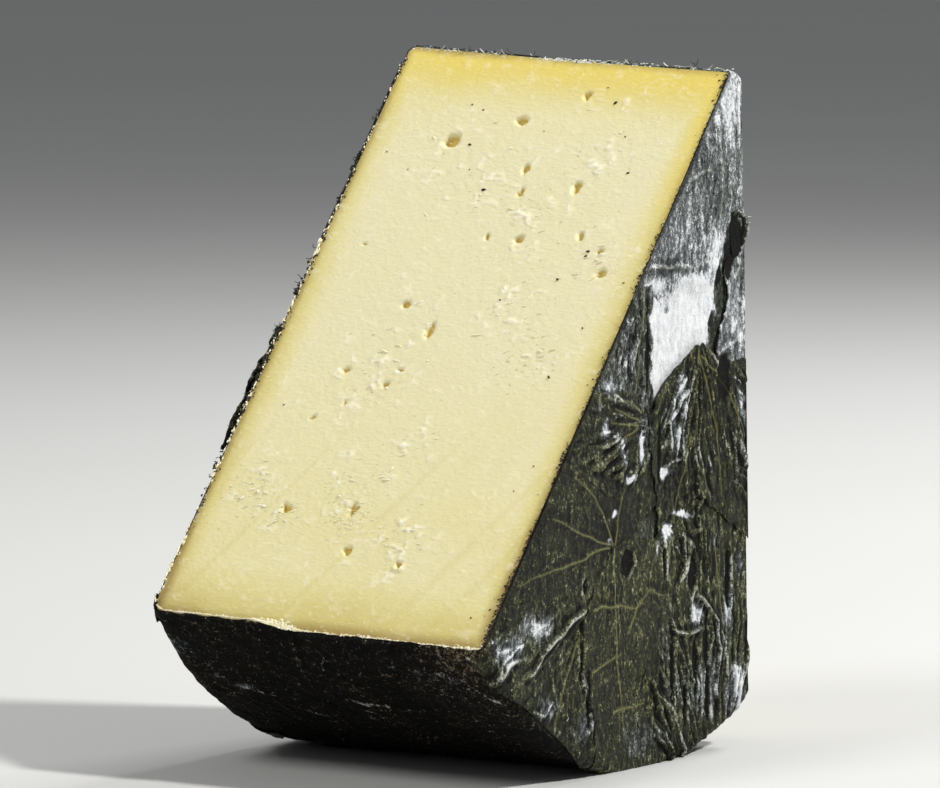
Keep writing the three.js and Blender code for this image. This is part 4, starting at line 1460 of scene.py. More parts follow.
def rim_band(name, sheet, ends, count, left_round, mould=0.0, proud=None):
    """A stretch of the leafy rim. ends gives the angles of its ends for an x and a radius.
    proud gives how far its front end stands out of the cut, at each place across."""
    length = rim_length(left_round)
    left_end, right_end = left_round * QUARTER, length - RIGHT_ROUND * QUARTER
    runs = np.concatenate([
        np.linspace(0, left_end, LEFT_ROUND_STEPS, endpoint=False),
        np.linspace(left_end, right_end, ACROSS_STEPS, endpoint=False),
        np.linspace(right_end, length, RIGHT_ROUND_STEPS),
    ])
    share = np.linspace(0, 1, count)
    x, radius, out_x, out_r = profile_at(runs, left_round)
    low, high = ends(x + out_x, radius + out_r)
    run = np.broadcast_to(runs[:, None], (len(runs), count))
    arc = (low[:, None] * (1 - share) + high[:, None] * share) * PASTE_RADIUS
    rough = RIM_ROUGH * fractal(arc, run, RIM_ROUGH_PITCH, 85)
    top = RIM_LEAF_TOP + sheet.read("height", arc, run) + rough
    grids = []
    for w in (COAT_LOW + 0 * arc, top):
        low, high = ends(x[:, None] + w * out_x[:, None], radius[:, None] + w * out_r[:, None])
        if proud:
            low = low - proud(run) / PASTE_RADIUS
        grids.append(on_rim(low * (1 - share) + high * share, run, w, left_round))
    rows, columns = arc.shape
    below = rows * columns
    faces = grid_faces(rows, columns) + grid_faces(rows, columns, below, flip=True)
    border = (
        [k for k in range(columns)]
        + [j * columns + columns - 1 for j in range(1, rows)]
        + [(rows - 1) * columns + k for k in range(columns - 2, -1, -1)]
        + [j * columns for j in range(rows - 2, 0, -1)]
    )
    faces += [[b, a, a + below, b + below] for a, b in zip(border, border[1:] + border[:1])]
    arc, run = np.tile(arc.ravel(), 2), np.tile(run.ravel(), 2)
    values = leaf_values(
        arc,
        mould=np.clip(sheet.read("mould", arc, run) + mould, 0, 1),
        crest=sheet.read("crest", arc, run),
        glint=RIM_GLINT * sheet.read("glint", arc, run),
        tint=0.28 + 0.8 * smooth(50, 78, run) * smooth(-34, -60, arc),
    )
    points = np.vstack([grid.reshape(-1, 3) for grid in grids])
    return make_piece(name, points, faces, values)


def bottom_ends(x, radius):
    return front_angles(x, radius)[0], back_angles(radius)[0]


def top_ends(x, radius):
    return back_angles(radius)[1], front_angles(x, radius)[1]


PROUD = 0.25
PROUD_LEFT = 1.3
PROUD_RAGGED = 0.35


def rim_lip(run):
    """The rim's leaf stands a little proud of the cut, most of all at the left."""
    x = run - LEFT_ARC + LEFT_ROUND - PASTE_HALF
    lip = PROUD_LEFT * smooth(-6, -12, x) * smooth(-42, -34, x)
    ragged = PROUD_RAGGED * fractal(run, 0 * run, 2.4, 91, 4)
    return lip + PROUD + ragged


# Materials.

class Signal:
    """A shader socket that takes part in sums: each operator adds a Math node."""

    def __init__(self, shader, socket):
        self.shader = shader
        self.socket = socket

    def math(self, operation, *others):
        inputs = dict(enumerate((self, *others)))
        return self.shader.node("Math", {"operation": operation}, inputs)

    def __add__(self, other):
        return self.math("ADD", other)

    def __radd__(self, other):
        return self.math("ADD", other)

    def __mul__(self, other):
        return self.math("MULTIPLY", other)

    def __rmul__(self, other):
        return self.math("MULTIPLY", other)

    def __sub__(self, other):
        return self.math("SUBTRACT", other)

    def __rsub__(self, other):
        return self.shader.node("Math", {"operation": "SUBTRACT"}, {0: other, 1: self})

    def clamped(self):
        return self.shader.node("Clamp", {}, {0: self})

    def step(self, low, high):
        settings = {"interpolation_type": "SMOOTHSTEP"}
        inputs = {"Value": self, "From Min": low, "From Max": high}
        return self.shader.node("MapRange", settings, inputs)


class Shader:
    """A material and the nodes that feed its surface."""

    def __init__(self, name):
        self.material = bpy.data.materials.new(name)
        self.material.use_nodes = True
        self.tree = self.material.node_tree
        self.surface = self.tree.nodes["Principled BSDF"]
        self.place = self.node("TexCoord", {}, {}, "Object")

    def node(self, kind, settings, inputs, output=0):
        made = self.tree.nodes.new("ShaderNode" + kind)
        for key, value in settings.items():
            if key == "stops":
                ramp = made.color_ramp
                while len(ramp.elements) < len(value):
                    ramp.elements.new(0.5)
                for element, (position, shade) in zip(ramp.elements, value):
                    element.position = position
                    element.color = shade
            else:
                setattr(made, key, value)
        for key, value in inputs.items():
            socket = made.inputs[key]
            if isinstance(value, Signal):
                self.tree.links.new(value.socket, socket)
            else:
                socket.default_value = value
        return Signal(self, made.outputs[output])

    def mix(self, factor, first, second):
        return self.node("Mix", {"data_type": "RGBA"}, {0: factor, 6: first, 7: second}, 2)

    def noise(self, scale, detail=3.0, roughness=0.55, vector=None):
        inputs = {"Scale": scale, "Detail": detail, "Roughness": roughness}
        inputs["Vector"] = vector or self.place
        return self.node("TexNoise", {}, inputs)

    def value(self, name):
        return self.node("Attribute", {"attribute_name": name}, {}, "Fac")

    def stretched(self, scale):
        """The piece's own coordinates, stretched along each axis."""
        return self.node("Mapping", {}, {"Vector": self.place, "Scale": scale})

    def set(self, **values):
        """Links or sets the surface's sockets, by their names without spaces."""
        names = {socket.name.replace(" ", ""): socket for socket in self.surface.inputs}
        for key, value in values.items():
            if isinstance(value, Signal):
                self.tree.links.new(value.socket, names[key])
            else:
                names[key].default_value = value

    def bump(self, height, distance):
        inputs = {"Height": height, "Distance": distance, "Strength": 1.0}
        self.set(Normal=self.node("Bump", {}, inputs))


def colour(red, green, blue):
    """A picture colour, from 0 to 255, as a shader colour."""
    def linear(value):
        value /= 255
        return value / 12.92 if value <= 0.04045 else ((value + 0.055) / 1.055) ** 2.4
    return linear(red), linear(green), linear(blue), 1.0


# The paste's colours, from its core to the leaves.
PASTE_STOPS = [
    (0.0, colour(228, 221, 180)), (0.3, colour(228, 220, 172)), (0.6, colour(222, 211, 148)),
    (0.88, colour(208, 194, 120)), (1.0, colour(192, 175, 96)),
]
GOLDEN_GLOW_COLOUR = colour(234, 212, 104)
DRAG_COLOUR = colour(208, 192, 112)
EDGE_BROWN_COLOUR = colour(150, 124, 62)
CRUMB_COLOUR = colour(244, 240, 216)
PIT_COLOUR = colour(208, 176, 58)


def paste_finish():
    """Cream paste that turns yellow, then brownish, towards the leaves, with a painted golden glow
    at the top and upper right.
    """
    m = Shader("cheese_paste")
    broad = m.noise(45, 2)
    grain = m.noise(800, 4, 0.65)
    fleck = m.noise(1.0, 2, 0.5, m.stretched((900, 1500, 1500)))
    near = m.value("rind") + (broad - 0.5) * 0.4
    base = m.node("ValToRGB", {"stops": PASTE_STOPS}, {0: near.clamped()})
    # Painted glow: near the rind, the paste's own yellow is pushed to golden where light shines
    # through the thin top and upper right.
    golden = near.step(0.25, 1.0) * m.value("warm")
    base = m.mix(golden * 0.85, base, GOLDEN_GLOW_COLOUR)
    base = m.mix(m.value("drag") * 0.22, base, DRAG_COLOUR)
    brown = m.value("stain") * (0.55 + 0.6 * broad)
    base = m.mix(brown.clamped(), base, EDGE_BROWN_COLOUR)
    pale = (fleck.step(0.6, 0.72) * 0.25 + m.value("crumb") * 0.95).clamped()
    base = m.mix(pale, base, CRUMB_COLOUR)
    ochre = m.value("pit").step(0.15, 0.9)
    base = m.mix(ochre * 0.85, base, PIT_COLOUR)
    m.set(
        BaseColor=base,
        Roughness=0.42 + 0.2 * grain,
        SubsurfaceWeight=0.3,
        SubsurfaceRadius=(0.7, 0.6, 0.3),
        SubsurfaceScale=0.003,
        SpecularIORLevel=0.4,
    )
    m.bump(grain * 0.6 + fleck * 0.5, 0.0002)
    return m.material


SHADE_STOPS = (0.0, 0.25, 0.5, 0.72, 0.88, 1.0)
VEIN_COLOUR = colour(128, 124, 74)
PAINTED_SHADE_COLOUR = colour(7, 6, 4)
THIN_MOULD_COLOUR = colour(132, 139, 144)
THICK_MOULD_COLOUR = colour(250, 252, 254)
GLINT_COLOUR = colour(212, 216, 208)
RAW_EDGE_COLOUR = colour(40, 30, 16)


def leaf_finish(name, shades, rough=0.5, shine=0.22):
    """Pressed nettle leaf, hairy, with mould: painted shade, black in its folds and hollows,
    painted light, olive and tan on its crests, and painted glints.
    """
    m = Shader(name)
    crest, tint = m.value("crest"), m.value("tint")
    broad = m.noise(90, 3)
    streaks = m.noise(1.0, 4, 0.65, m.stretched((800, 800, 400)))
    mottle = m.noise(1.0, 4, 0.75, m.stretched((1600, 1600, 1150)))
    fine = m.noise(3200, 3, 0.7)
    grain = mottle * 0.6 + fine * 0.4
    # Painted light and shade: crest lifts the ramp on crests and lowers it in folds; the other
    # terms are the leaf's own mottled tone.
    lift = 0.42 + crest * 0.34 + (broad - 0.5) * 0.8 + (tint - 0.5) * 0.3
    lift = lift + (streaks - 0.5) * 1.2 + (grain - 0.5) * 4.2
    stops = list(zip(SHADE_STOPS, shades))
    base = m.node("ValToRGB", {"stops": stops}, {0: lift.clamped()})
    base = m.mix(m.value("vein") * 0.8, base, VEIN_COLOUR)
    # Painted shade: near black where crest is low, in folds and pockets.
    deep = crest.step(-0.15, -0.8)
    base = m.mix(deep * 0.82, base, PAINTED_SHADE_COLOUR)
    dust = m.value("mould")
    patchy = (streaks - 0.5) * 1.0 + (grain - 0.5) * 3.2 + (broad - 0.5) * 0.7
    white = (dust * 1.2 - 0.45 + patchy * (1.15 - dust * 0.8) + crest * 0.32).step(-0.08, 0.8)
    white = white * dust.step(0.02, 0.16)
    clean = white.step(0.4, 1.0) * (0.78 + (streaks - 0.5) * 1.1 + (fine - 0.5) * 0.9)
    chalk = m.mix(clean.clamped(), THIN_MOULD_COLOUR, THICK_MOULD_COLOUR)
    base = m.mix((white * 1.15).clamped(), base, chalk)
    # Painted glints along crests and creases, and pale flecks from the grain.
    bright = (m.value("glint") * 1.2 + (grain - 0.5) * 3.4).step(0.3, 0.95)
    base = m.mix(bright * 0.9, base, GLINT_COLOUR)
    base = m.mix(m.value("raw") * mottle.step(0.35, 0.6) * 0.8, base, RAW_EDGE_COLOUR)
    m.set(
        BaseColor=base,
        Roughness=(rough + 0.3 * (grain - 0.5) + white * 0.4 + deep * 0.4).clamped(),
        SpecularIORLevel=shine,
    )
    m.bump(mottle * 0.8 + fine * 0.5 + streaks * 0.6, 0.0004)
    return m.material


def crumb_finish(name, first, second):
    """A finish for crumbs and shreds: two shades by noise, with a fine tooth."""
    m = Shader(name)
    grain = m.noise(900, 3)
    m.set(
        BaseColor=m.mix(grain.step(0.35, 0.65), first, second),
        Roughness=0.5 + 0.2 * grain,
        SpecularIORLevel=0.3,
    )
    m.bump(grain, 0.0001)
    return m.material


def dress(piece, material, nodes=()):
    piece.data.materials.append(material)
    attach(piece, BODY)
    if nodes:
        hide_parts(*nodes)
    return piece


# Loose bits, all real mesh, one piece for each kind.

class Scatter:
    """Collects small closed bits into one mesh."""

    def __init__(self):
        self.points, self.faces, self.count = [], [], 0

    def add(self, points, faces):
        self.points.append(points)
        self.faces += [[self.count + k for k in face] for face in faces]
        self.count += len(points)

    def piece(self, name):
        return make_piece(name, np.vstack(self.points), self.faces, sharp=35)


STRAND_RING = 4
STRAND_STEPS = 9
STRAND_END = 0.35
ASLANT = (0.36, 0.48, 0.8)


def strand(path, radius):
    """A thin fibre along a path, thinner towards both ends."""
    path = np.array(path, float)
    ahead = np.gradient(path, axis=0)
    ahead /= np.linalg.norm(ahead, axis=1)[:, None]
    side = np.cross(ahead, ASLANT)
    side /= np.linalg.norm(side, axis=1)[:, None]
    up = np.cross(ahead, side)
    size = radius * np.sin(np.linspace(STRAND_END, math.pi - STRAND_END, len(path)))[:, None]
    turns = [k * 2 * math.pi / STRAND_RING for k in range(STRAND_RING)]
    rings = [path + size * (math.cos(turn) * side + math.sin(turn) * up) for turn in turns]
    points = np.stack(rings, 1).reshape(-1, 3)
    faces = grid_faces(len(path), STRAND_RING, closed=True)
    faces.append(list(range(STRAND_RING))[::-1])
    faces.append([len(points) - STRAND_RING + k for k in range(STRAND_RING)])
    return points, faces


def curled(start, way, length, curl, random):
    """A path that sets off in one direction and curls at random."""
    path = [np.array(start, float)]
    way = np.array(way, float)
    bend = random.normal(0, curl, 3)
    for _ in range(STRAND_STEPS):
        way = way / np.linalg.norm(way)
        path.append(path[-1] + way * length / STRAND_STEPS)
        bend = 0.7 * bend + random.normal(0, curl, 3)
        way = way + bend
    return path


LUMP_RING = 6
# A lump's three rings: height and width, as shares of its half axes.
LUMP_ROWS = [(-0.7, 0.65), (0.1, 1.0), (0.75, 0.6)]


def lump(centre, across, along, out, random):
    """A small uneven lump about a centre, with its three half axes."""
    along = along * math.copysign(1, np.dot(np.cross(across, along), out))
    rows = []
    for height, width in LUMP_ROWS:
        turn = np.arange(LUMP_RING) * 2 * math.pi / LUMP_RING + random.uniform(0, 1)
        size = width * random.uniform(0.7, 1.2, LUMP_RING)
        rows.append(
            centre + np.outer(size * np.cos(turn), across)
            + np.outer(size * np.sin(turn), along) + height * out
        )
    points = np.vstack([*rows, [centre - out], [centre + 1.1 * out]])
    faces = grid_faces(len(LUMP_ROWS), LUMP_RING, closed=True)
    last = len(LUMP_ROWS) * LUMP_RING
    for k in range(LUMP_RING):
        after = (k + 1) % LUMP_RING
        faces.append([after, k, last])
        faces.append([last - LUMP_RING + k, last - LUMP_RING + after, last + 1])
    return points, faces


FRONT_OUT = np.array([FRONT_TURN, -1.0, FRONT_SLOPE]) / math.hypot(1, FRONT_SLOPE, FRONT_TURN)
SLOPE_DOWN = np.array([0.0, -FRONT_SLOPE, -1.0]) / SLOPE_LENGTH
ACROSS = np.array([1.0, 0.0, 0.0])
BACK_OUT = np.array([0.0, 1.0, 0.0])
STRAIGHT_DOWN = np.array([0.0, 0.0, -1.0])


def turned(across, along, turn):
    """Two directions turned in their own plane."""
    wide = math.cos(turn) * across + math.sin(turn) * along
    tall = -math.sin(turn) * across + math.cos(turn) * along
    return wide, tall


FRONT_FLAKE_COUNT = 900
BACK_FLAKE_COUNT = 350
FLAKE_SPREAD = 0.6
FLAKE_INSIDE = 0.93 * PASTE_HALF
FLAKE_TOP = 2
FLAKE_BOTTOM = 120


def paste_flakes():
    """Small torn flakes and curls that stand up from the crumbly parts of both cuts."""
    random = np.random.default_rng(31)
    bits = Scatter()
    for place, crumbly, count, out, down_way in (
        (front_point, FRONT_CRUMBLY, FRONT_FLAKE_COUNT, FRONT_OUT, SLOPE_DOWN),
        (back_point, BACK_CRUMBLY, BACK_FLAKE_COUNT, BACK_OUT, STRAIGHT_DOWN),
    ):
        spots = [crumbly[k] for k in random.integers(0, len(crumbly), count)]
        for across, at, radius in spots:
            x = across + random.normal(0, FLAKE_SPREAD) * radius
            down = at + random.normal(0, FLAKE_SPREAD) * radius
            size = random.uniform(0.1, 0.24) * (1 + (random.uniform() < 0.1) * 1.3)
            wide, tall = turned(ACROSS, down_way, random.normal(-0.15, 0.45))
            if abs(x) > FLAKE_INSIDE or not FLAKE_TOP < down < FLAKE_BOTTOM:
                continue
            centre = place(np.array(x), np.array(down), 0.02)
            wide = wide * size * random.uniform(1.0, 2.6)
            out_way = out * size * random.uniform(0.2, 0.5)
            bits.add(*lump(centre, wide, tall * size * 0.55, out_way, random))
    return bits.piece("paste_flakes")


BOTTOM_CRUMB_COUNT = 1100
LEFT_CRUMB_COUNT = 1100
THICK_AT = 8
THICK_WIDTH = 4


def edge_crumbs():
    """Pale frayed crumbs along the paste's bottom and left edges. Those at the bottom lie
    thickest a little left of the middle, where the rim's proud lip of leaf starts."""
    random = np.random.default_rng(33)
    bits = Scatter()
    for _ in range(BOTTOM_CRUMB_COUNT):
        spread = random.uniform() < 0.7
        x = random.uniform(-PASTE_HALF, PASTE_HALF) if spread else random.normal(-9, 3)
        radius = paste_radius(np.array(x), LEFT_ROUND)
        bottom = front_angles(x, radius)[0]
        edge = (FRONT_TOP[1] + radius * math.cos(bottom)) * SLOPE_LENGTH
        behind_lip = smooth(-8, -14, x)
        heap = math.exp(-(((x + THICK_AT) / THICK_WIDTH) ** 2))
        thick = 0.35 + heap + 0.2 * noise(x, 0.0, 4, 59)
        thick = thick - 0.15 * behind_lip
        down = edge - abs(random.normal(0, 0.5)) * thick - 0.7 * behind_lip
        size = random.uniform(0.08, 0.28) * (0.7 + 0.6 * thick)
        centre = front_point(np.array(x), np.array(down), 0.1 + 1.2 * behind_lip)
        shape = (ACROSS * size * 1.3, SLOPE_DOWN * size, FRONT_OUT * size * 0.8)
        bits.add(*lump(centre, *shape, random))
    for _ in range(LEFT_CRUMB_COUNT):
        down = random.uniform(1, 136)
        x = random.normal(-0.22, 0.2) - PASTE_HALF
        centre = front_point(np.array(x), np.array(down), random.uniform(-0.25, 0.1))
        crowd = 0.45 + 0.8 * fractal(down, 0.0, 7, 58, 4) + 0.2 * smooth(80, 105, down)
        if math.hypot(centre[1], centre[2]) < PASTE_RADIUS - 1 and random.uniform() < crowd:
            size = random.uniform(0.06, 0.14 + 0.2 * crowd)
            shape = (ACROSS * size, SLOPE_DOWN * size * random.uniform(1, 3), FRONT_OUT * size)
            bits.add(*lump(centre, *shape, random))
    return bits.piece("edge_crumbs")


# Bits of leaf that the knife dragged onto the cut: across, down and size.
LEAF_SPECKS = [
    (-17.7, 12.4, 0.3), (-14.5, 13.6, 0.35), (15.8, 10.0, 0.6), (12.6, 6.2, 0.25),
    (-14.0, 22.3, 0.5), (-11.4, 28.4, 0.25), (-6.0, 33.3, 0.6), (2.1, 18.0, 0.2),
    (25.7, 27.6, 0.45), (21.5, 18.4, 0.3), (-26.0, 29.1, 0.2), (24.4, 47.4, 0.55),
    (24.3, 48.6, 0.5), (38.0, 8.1, 0.35), (37.0, 132.3, 0.4), (38.0, 129.9, 0.4),
    (20.2, 54.6, 0.4), (9.2, 60.1, 0.3), (30.6, 66.0, 0.3), (27.8, 78.0, 0.45),
    (-33.0, 25.0, 0.25), (-30.0, 88.0, 0.25), (33.0, 99.0, 0.25), (31.0, 105.0, 0.2),
]


RIGHT_SPECK_COUNT = 1500
LEFT_SPECK_COUNT = 420


def leaf_specks():
    """Dark specks of leaf on the cut, thickest along its right edge."""
    random = np.random.default_rng(37)
    bits = Scatter()

    def speck(x, down, size):
        centre = front_point(np.array(x), np.array(down), 0.08)
        wide, tall = turned(ACROSS, SLOPE_DOWN, random.uniform(-1.2, 1.2))
        bits.add(*lump(centre, wide * size, tall * size * 0.6, FRONT_OUT * 0.14, random))

    for across, down, size in LEAF_SPECKS:
        speck(across, down, size)
    for _ in range(RIGHT_SPECK_COUNT):
        down = random.uniform(1, 143)
        crowd = 0.5 + 0.8 * fractal(down, 0.0, 9, 52, 4)
        if random.uniform() > crowd:
            continue
        inset = abs(random.normal(0, 0.14 + 0.3 * crowd))
        if random.uniform() < 0.06:
            inset += random.exponential(1.4)
        speck(PASTE_HALF + 0.15 - inset, down, random.uniform(0.06, 0.16 + 0.2 * crowd))
    for _ in range(LEFT_SPECK_COUNT):
        down = random.uniform(1, 138)
        x = abs(random.normal(0, 0.35)) - PASTE_HALF
        if random.uniform() < 0.4 + 0.8 * noise(down, 0.0, 12, 53):
            speck(x, down, random.uniform(0.08, 0.34))
    return bits.piece("leaf_specks")


# Torn leaf that sticks out along the cut's left edge: distance down, spread and number.
LEFT_TUFTS = [
    (17, 2, 8), (28, 3, 24), (53, 3, 14), (60, 3, 18), (70, 2, 30), (79, 8, 70), (90, 6, 24),
    (104, 9, 16), (40, 20, 10),
]
# The same along the top edge: place across, spread and number.
TOP_TUFTS = [(-24, 7, 16), (-14, 5, 9), (15, 4, 7), (30, 2, 3), (2, 20, 4)]
TO_THE_RIGHT = np.array([0.83, 0.56, 0.0])
UP = np.array([0.0, 0.0, 1.0])
# Two hairs that hook up from the top edge: place across, then lean and length of each.
HOOK_AT = 30.5
HOOKS = [(0.5, 2.4), (-0.3, 1.6)]
HAIR_RADIUS = 0.08


def leaf_strands():
    """Torn shreds and hairs of leaf along the cut's left and top edges."""
    random = np.random.default_rng(43)
    bits = Scatter()

    def shred(centre, size):
        ways = random.normal(0, 1, (3, 3))
        ways /= np.linalg.norm(ways, axis=1)[:, None]
        across = ways[0] * size * random.uniform(0.8, 1.8)
        along = np.cross(ways[0], ways[1]) * size
        out = np.cross(across, along)
        out *= 0.25 * size / max(np.linalg.norm(out), 1e-6)
        bits.add(*lump(centre, across, along, out, random))

    for down, spread, count in LEFT_TUFTS:
        for _ in range(count):
            place = np.array(random.normal(-0.4, 0.25) - PASTE_HALF)
            start = front_point(place, np.array(random.normal(down, 0.5 * spread)), 0.1)
            shred(start, random.uniform(0.15, 0.5))
            if random.uniform() < 0.3:
                way = (random.uniform(-1, -0.2), random.uniform(-1, 0.2), random.uniform(-0.8, 0.8))
                path = curled(start, way, random.uniform(0.5, 1.5), 0.25, random)
                bits.add(*strand(path, random.uniform(0.05, 0.09)))
    for across, spread, count in TOP_TUFTS:
        for _ in range(count):
            x = np.clip(random.normal(across, 0.5 * spread), -OUTER_HALF, OUTER_HALF)
            start = front_point(x, np.array(-random.uniform(0.2, 1.4)), -0.2)
            shred(start, random.uniform(0.12, 0.42))
            if random.uniform() < 0.5:
                way = (random.normal(0, 1), random.normal(0, 0.4), random.uniform(-0.1, 0.3))
                path = curled(start, way, random.uniform(0.6, 1.8), 0.25, random)
                bits.add(*strand(path, random.uniform(0.05, 0.1)))
    hook = front_point(np.array(HOOK_AT), np.array(-0.6), -0.2)
    for lean, length in HOOKS:
        path = curled(hook, TO_THE_RIGHT * lean + UP, length, 0.22, random)
        bits.add(*strand(path, HAIR_RADIUS))
    return bits.piece("leaf_strands")


MOULD_CRUMB_COUNT = 520
PALE_STRAND_COUNT = 60
BARE_FROM = 26
# Pale hairs on the lip at the back edge: height and lean of each.
LIP_HAIRS = [(34.6, 0.5), (33.4, -0.2), (32.2, -0.7)]
LIP_HAIR_LENGTH = 1.8
LIP_HAIR_RADIUS = 0.07


def top_mould():
    """White crumbly mould and pale hairs along the top edge of the cut and on the lip."""
    random = np.random.default_rng(47)
    bits = Scatter()
    for _ in range(MOULD_CRUMB_COUNT):
        clump = random.uniform() < 0.5
        x = random.normal(2, 4.5) if clump else random.uniform(-OUTER_HALF, OUTER_HALF)
        crowd = 0.5 + 0.8 * fractal(x, 3.0, 6, 57, 3)
        if not clump and random.uniform() > crowd or abs(x) > OUTER_HALF:
            continue
        if x > BARE_FROM and random.uniform() < 0.7:
            continue
        centre = front_point(np.array(x), np.array(-random.uniform(-0.2, 0.6)), -0.1)
        size = random.uniform(0.08, 0.26)
        shape = (ACROSS * size * random.uniform(1, 2.4), SLOPE_DOWN * size, FRONT_OUT * size * 0.7)
        bits.add(*lump(centre, *shape, random))
    for _ in range(PALE_STRAND_COUNT):
        x = random.uniform(-0.95, 0.9) * OUTER_HALF
        start = front_point(np.array(x), np.array(-random.uniform(0.1, 0.6)), -0.1)
        way = (random.choice((-1.0, 1.0)), random.normal(0, 0.2), random.uniform(-0.12, 0.16))
        path = curled(start, way, random.uniform(0.8, 2.6), 0.09, random)
        bits.add(*strand(path, random.uniform(0.05, 0.1)))
    for height, lean in LIP_HAIRS:
        start = np.array([PASTE_HALF + 0.9, 35.4, height])
        path = curled(start, TO_THE_RIGHT + UP * lean, LIP_HAIR_LENGTH, 0.2, random)
        bits.add(*strand(path, LIP_HAIR_RADIUS))
    return bits.piece("top_mould")


# Camera, floor and lights.

VIEW_FROM = (680.5, -1015.3, 106.0)
VIEW_YAW = math.radians(-33.94)
VIEW_DROP = math.radians(4.98)
FOCAL_PIXELS = 6115
PHOTO_WIDTH = 940
SENSOR_WIDTH = 36.0


def place_camera():
    ahead = Vector((
        math.sin(VIEW_YAW) * math.cos(VIEW_DROP),
        math.cos(VIEW_YAW) * math.cos(VIEW_DROP),
        -math.sin(VIEW_DROP),
    ))
    across = Vector((math.cos(VIEW_YAW), -math.sin(VIEW_YAW), 0))
    up = across.cross(ahead)
    turn = Matrix((across, up, -ahead)).transposed().to_4x4()
    data = bpy.data.cameras.new("camera")
    data.sensor_width = SENSOR_WIDTH
    data.lens = FOCAL_PIXELS * SENSOR_WIDTH / PHOTO_WIDTH
    data.clip_start = 0.05
    data.clip_end = 50
    camera = bpy.data.objects.new("camera", data)
    camera.matrix_world = Matrix.Translation(Vector(to_row(VIEW_FROM))) @ turn
    bpy.context.scene.collection.objects.link(camera)
    bpy.context.scene.camera = camera


FLOOR_HALF = 12.0
FLOOR_GREY = (0.5, 0.5, 0.49, 1)
FLOOR_PALE = (0.54, 0.54, 0.53, 1)


def place_floor():
    size = FLOOR_HALF
    mesh = bpy.data.meshes.new("floor")
    corners = [(-size, -size, 0), (size, -size, 0), (size, size, 0), (-size, size, 0)]
    mesh.from_pydata(corners, [], [(0, 1, 2, 3)])
    floor = bpy.data.objects.new("floor", mesh)
    bpy.context.scene.collection.objects.link(floor)
    m = Shader("floor")
    m.set(BaseColor=m.mix(m.noise(3.0), FLOOR_GREY, FLOOR_PALE), Roughness=0.7)
    mesh.materials.append(m.material)


LIGHT_AIM = (0, 0, 0.07)
SKY_COLOUR = (0.8, 0.82, 0.84, 1)
SKY_STRENGTH = 0.28


def area_light(name, place, size, power, tint=(1, 1, 1)):
    """A round light that faces the wedge's middle."""
    data = bpy.data.lights.new(name, "AREA")
    data.shape = "DISK"
    data.size = size
    data.energy = power
    data.color = tint
    light = bpy.data.objects.new(name, data)
    light.location = place
    way = Vector(LIGHT_AIM) - Vector(place)
    light.rotation_euler = way.to_track_quat("-Z", "Y").to_euler()
    bpy.context.scene.collection.objects.link(light)


def place_lights():
    area_light("key", (-0.45, -0.9, 1.15), 0.6, 9.8, (1.0, 0.985, 0.95))
    area_light("side", (0.85, 0.4, 1.2), 0.18, 24, (1.0, 0.99, 0.97))
    area_light("back", (0.0, 1.0, 0.9), 0.4, 9)
    world = bpy.data.worlds.new("studio")
    world.use_nodes = True
    sky = world.node_tree.nodes["Background"]
    sky.inputs["Color"].default_value = SKY_COLOUR
    sky.inputs["Strength"].default_value = SKY_STRENGTH
    bpy.context.scene.world = world
    bpy.context.scene.view_settings.view_transform = "Standard"


# The whole.

# Each leaf's colours, from dark to light: they carry its own mottled tone, the painted shade of its
# folds and the painted light on its crests.
GREEN_SHADES = [
    colour(4, 5, 3), colour(14, 16, 8), colour(38, 42, 22), colour(69, 72, 41),
    colour(108, 107, 71), colour(162, 162, 128),
]
# The rim's colours: its leaves' own dark tone, darkened further as painted shade for the wedge's
# underside.
SHADED_RIM_COLOURS = [
    colour(1, 1, 1), colour(3, 3, 2), colour(8, 8, 5), colour(24, 20, 13),
    colour(60, 51, 38), colour(118, 106, 88),
]
MOULDY_SHADES = [
    colour(8, 9, 7), colour(28, 30, 24), colour(60, 64, 52), colour(94, 98, 85),
    colour(126, 129, 115), colour(170, 172, 160),
]
RIM_COLUMNS = 236
TOP_COLUMNS = 10
TOP_MOULD = 0.45
RIGHT_LOOP_STEP = 0.45
LEFT_LOOP_STEP = 0.6
CREASE_WANDER = 0.5
RIGHT_SPACING = 0.36
LEFT_SPACING = 0.55
MOULDY_FROM = 0.25

place_camera()
place_floor()
place_lights()

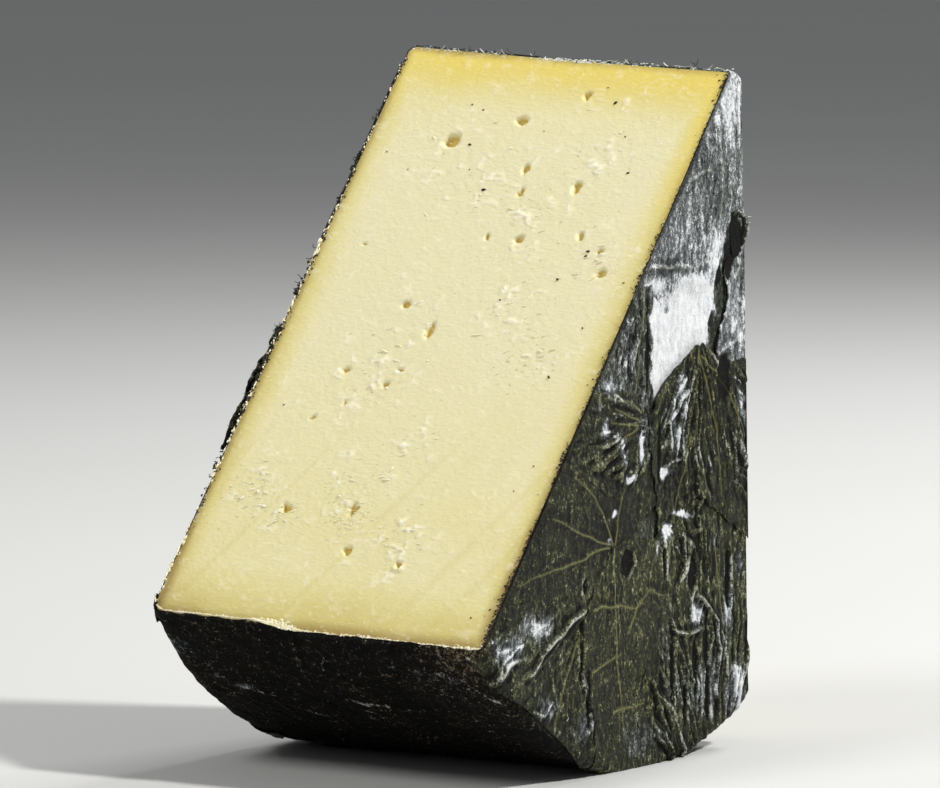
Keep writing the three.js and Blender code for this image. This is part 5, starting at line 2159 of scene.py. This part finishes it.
green = leaf_finish("green_leaf", GREEN_SHADES)
# The rim's finish, darkened as painted shade for the underside.
dark = leaf_finish("dark_leaf", SHADED_RIM_COLOURS, rough=0.85, shine=0.12)
mouldy = leaf_finish("moulded_leaf", MOULDY_SHADES)
crumbs = crumb_finish("paste_crumbs", colour(246, 242, 218), colour(228, 218, 172))
bits = crumb_finish("leaf_bits", colour(14, 14, 9), colour(62, 56, 36))
chalky = crumb_finish("white_mould", colour(240, 240, 232), colour(198, 200, 186))

dress(cheese_paste(), paste_finish(), ["cheese_paste"])
dress(paste_flakes(), crumbs)
dress(edge_crumbs(), crumbs)
dress(leaf_specks(), bits)
dress(leaf_strands(), bits)
dress(top_mould(), chalky)

prepare_leaves(RIGHT_LEAVES, RIGHT_LOOP_STEP, 40)
prepare_leaves(LEFT_LEAVES, LEFT_LOOP_STEP, 60)
for number, (height, width, white, line) in enumerate(RIGHT_CREASES):
    line = wandering(line, 900 + number, CREASE_WANDER)
    RIGHT_CREASES[number] = (height, width, white, line)
right_sheet = right_face_map()
left_sheet = left_face_map()
rim_sheet = rim_map()

right_coat = coat_piece("coat_right", right_sheet, on_right, 1, 81)
dress(right_coat, mouldy, ["leaf_coat_right"])
left_coat = coat_piece("coat_left", left_sheet, on_left, -1, 83)
dress(left_coat, mouldy, ["leaf_coat_left"])
rim = rim_band("coat_rim", rim_sheet, bottom_ends, RIM_COLUMNS, LEFT_ROUND, proud=rim_lip)
dress(rim, dark, ["leaf_coat_rim"])
top = rim_band("coat_top", rim_sheet, top_ends, TOP_COLUMNS, TOP_ROUND, mould=TOP_MOULD)
dress(top, mouldy, ["leaf_coat_top"])

for sheet, leaves, place, side, spacing in (
    (right_sheet, RIGHT_LEAVES, on_right, 1, RIGHT_SPACING),
    (left_sheet, LEFT_LEAVES, on_left, -1, LEFT_SPACING),
):
    for number, leaf in enumerate(leaves):
        piece = leaf_piece(leaf, sheet, place, side, 200 + 20 * side + number, spacing)
        worn = leaf["mould"] > MOULDY_FROM
        finish, slot = (mouldy, "moulded_leaf") if worn else (green, "green_leaf")
        dress(piece, finish, [leaf["name"]])

dress(back_lip(), green, ["leaf_lip_back_edge"])
dress(left_flap(), green, ["leaf_flap_left_edge"])
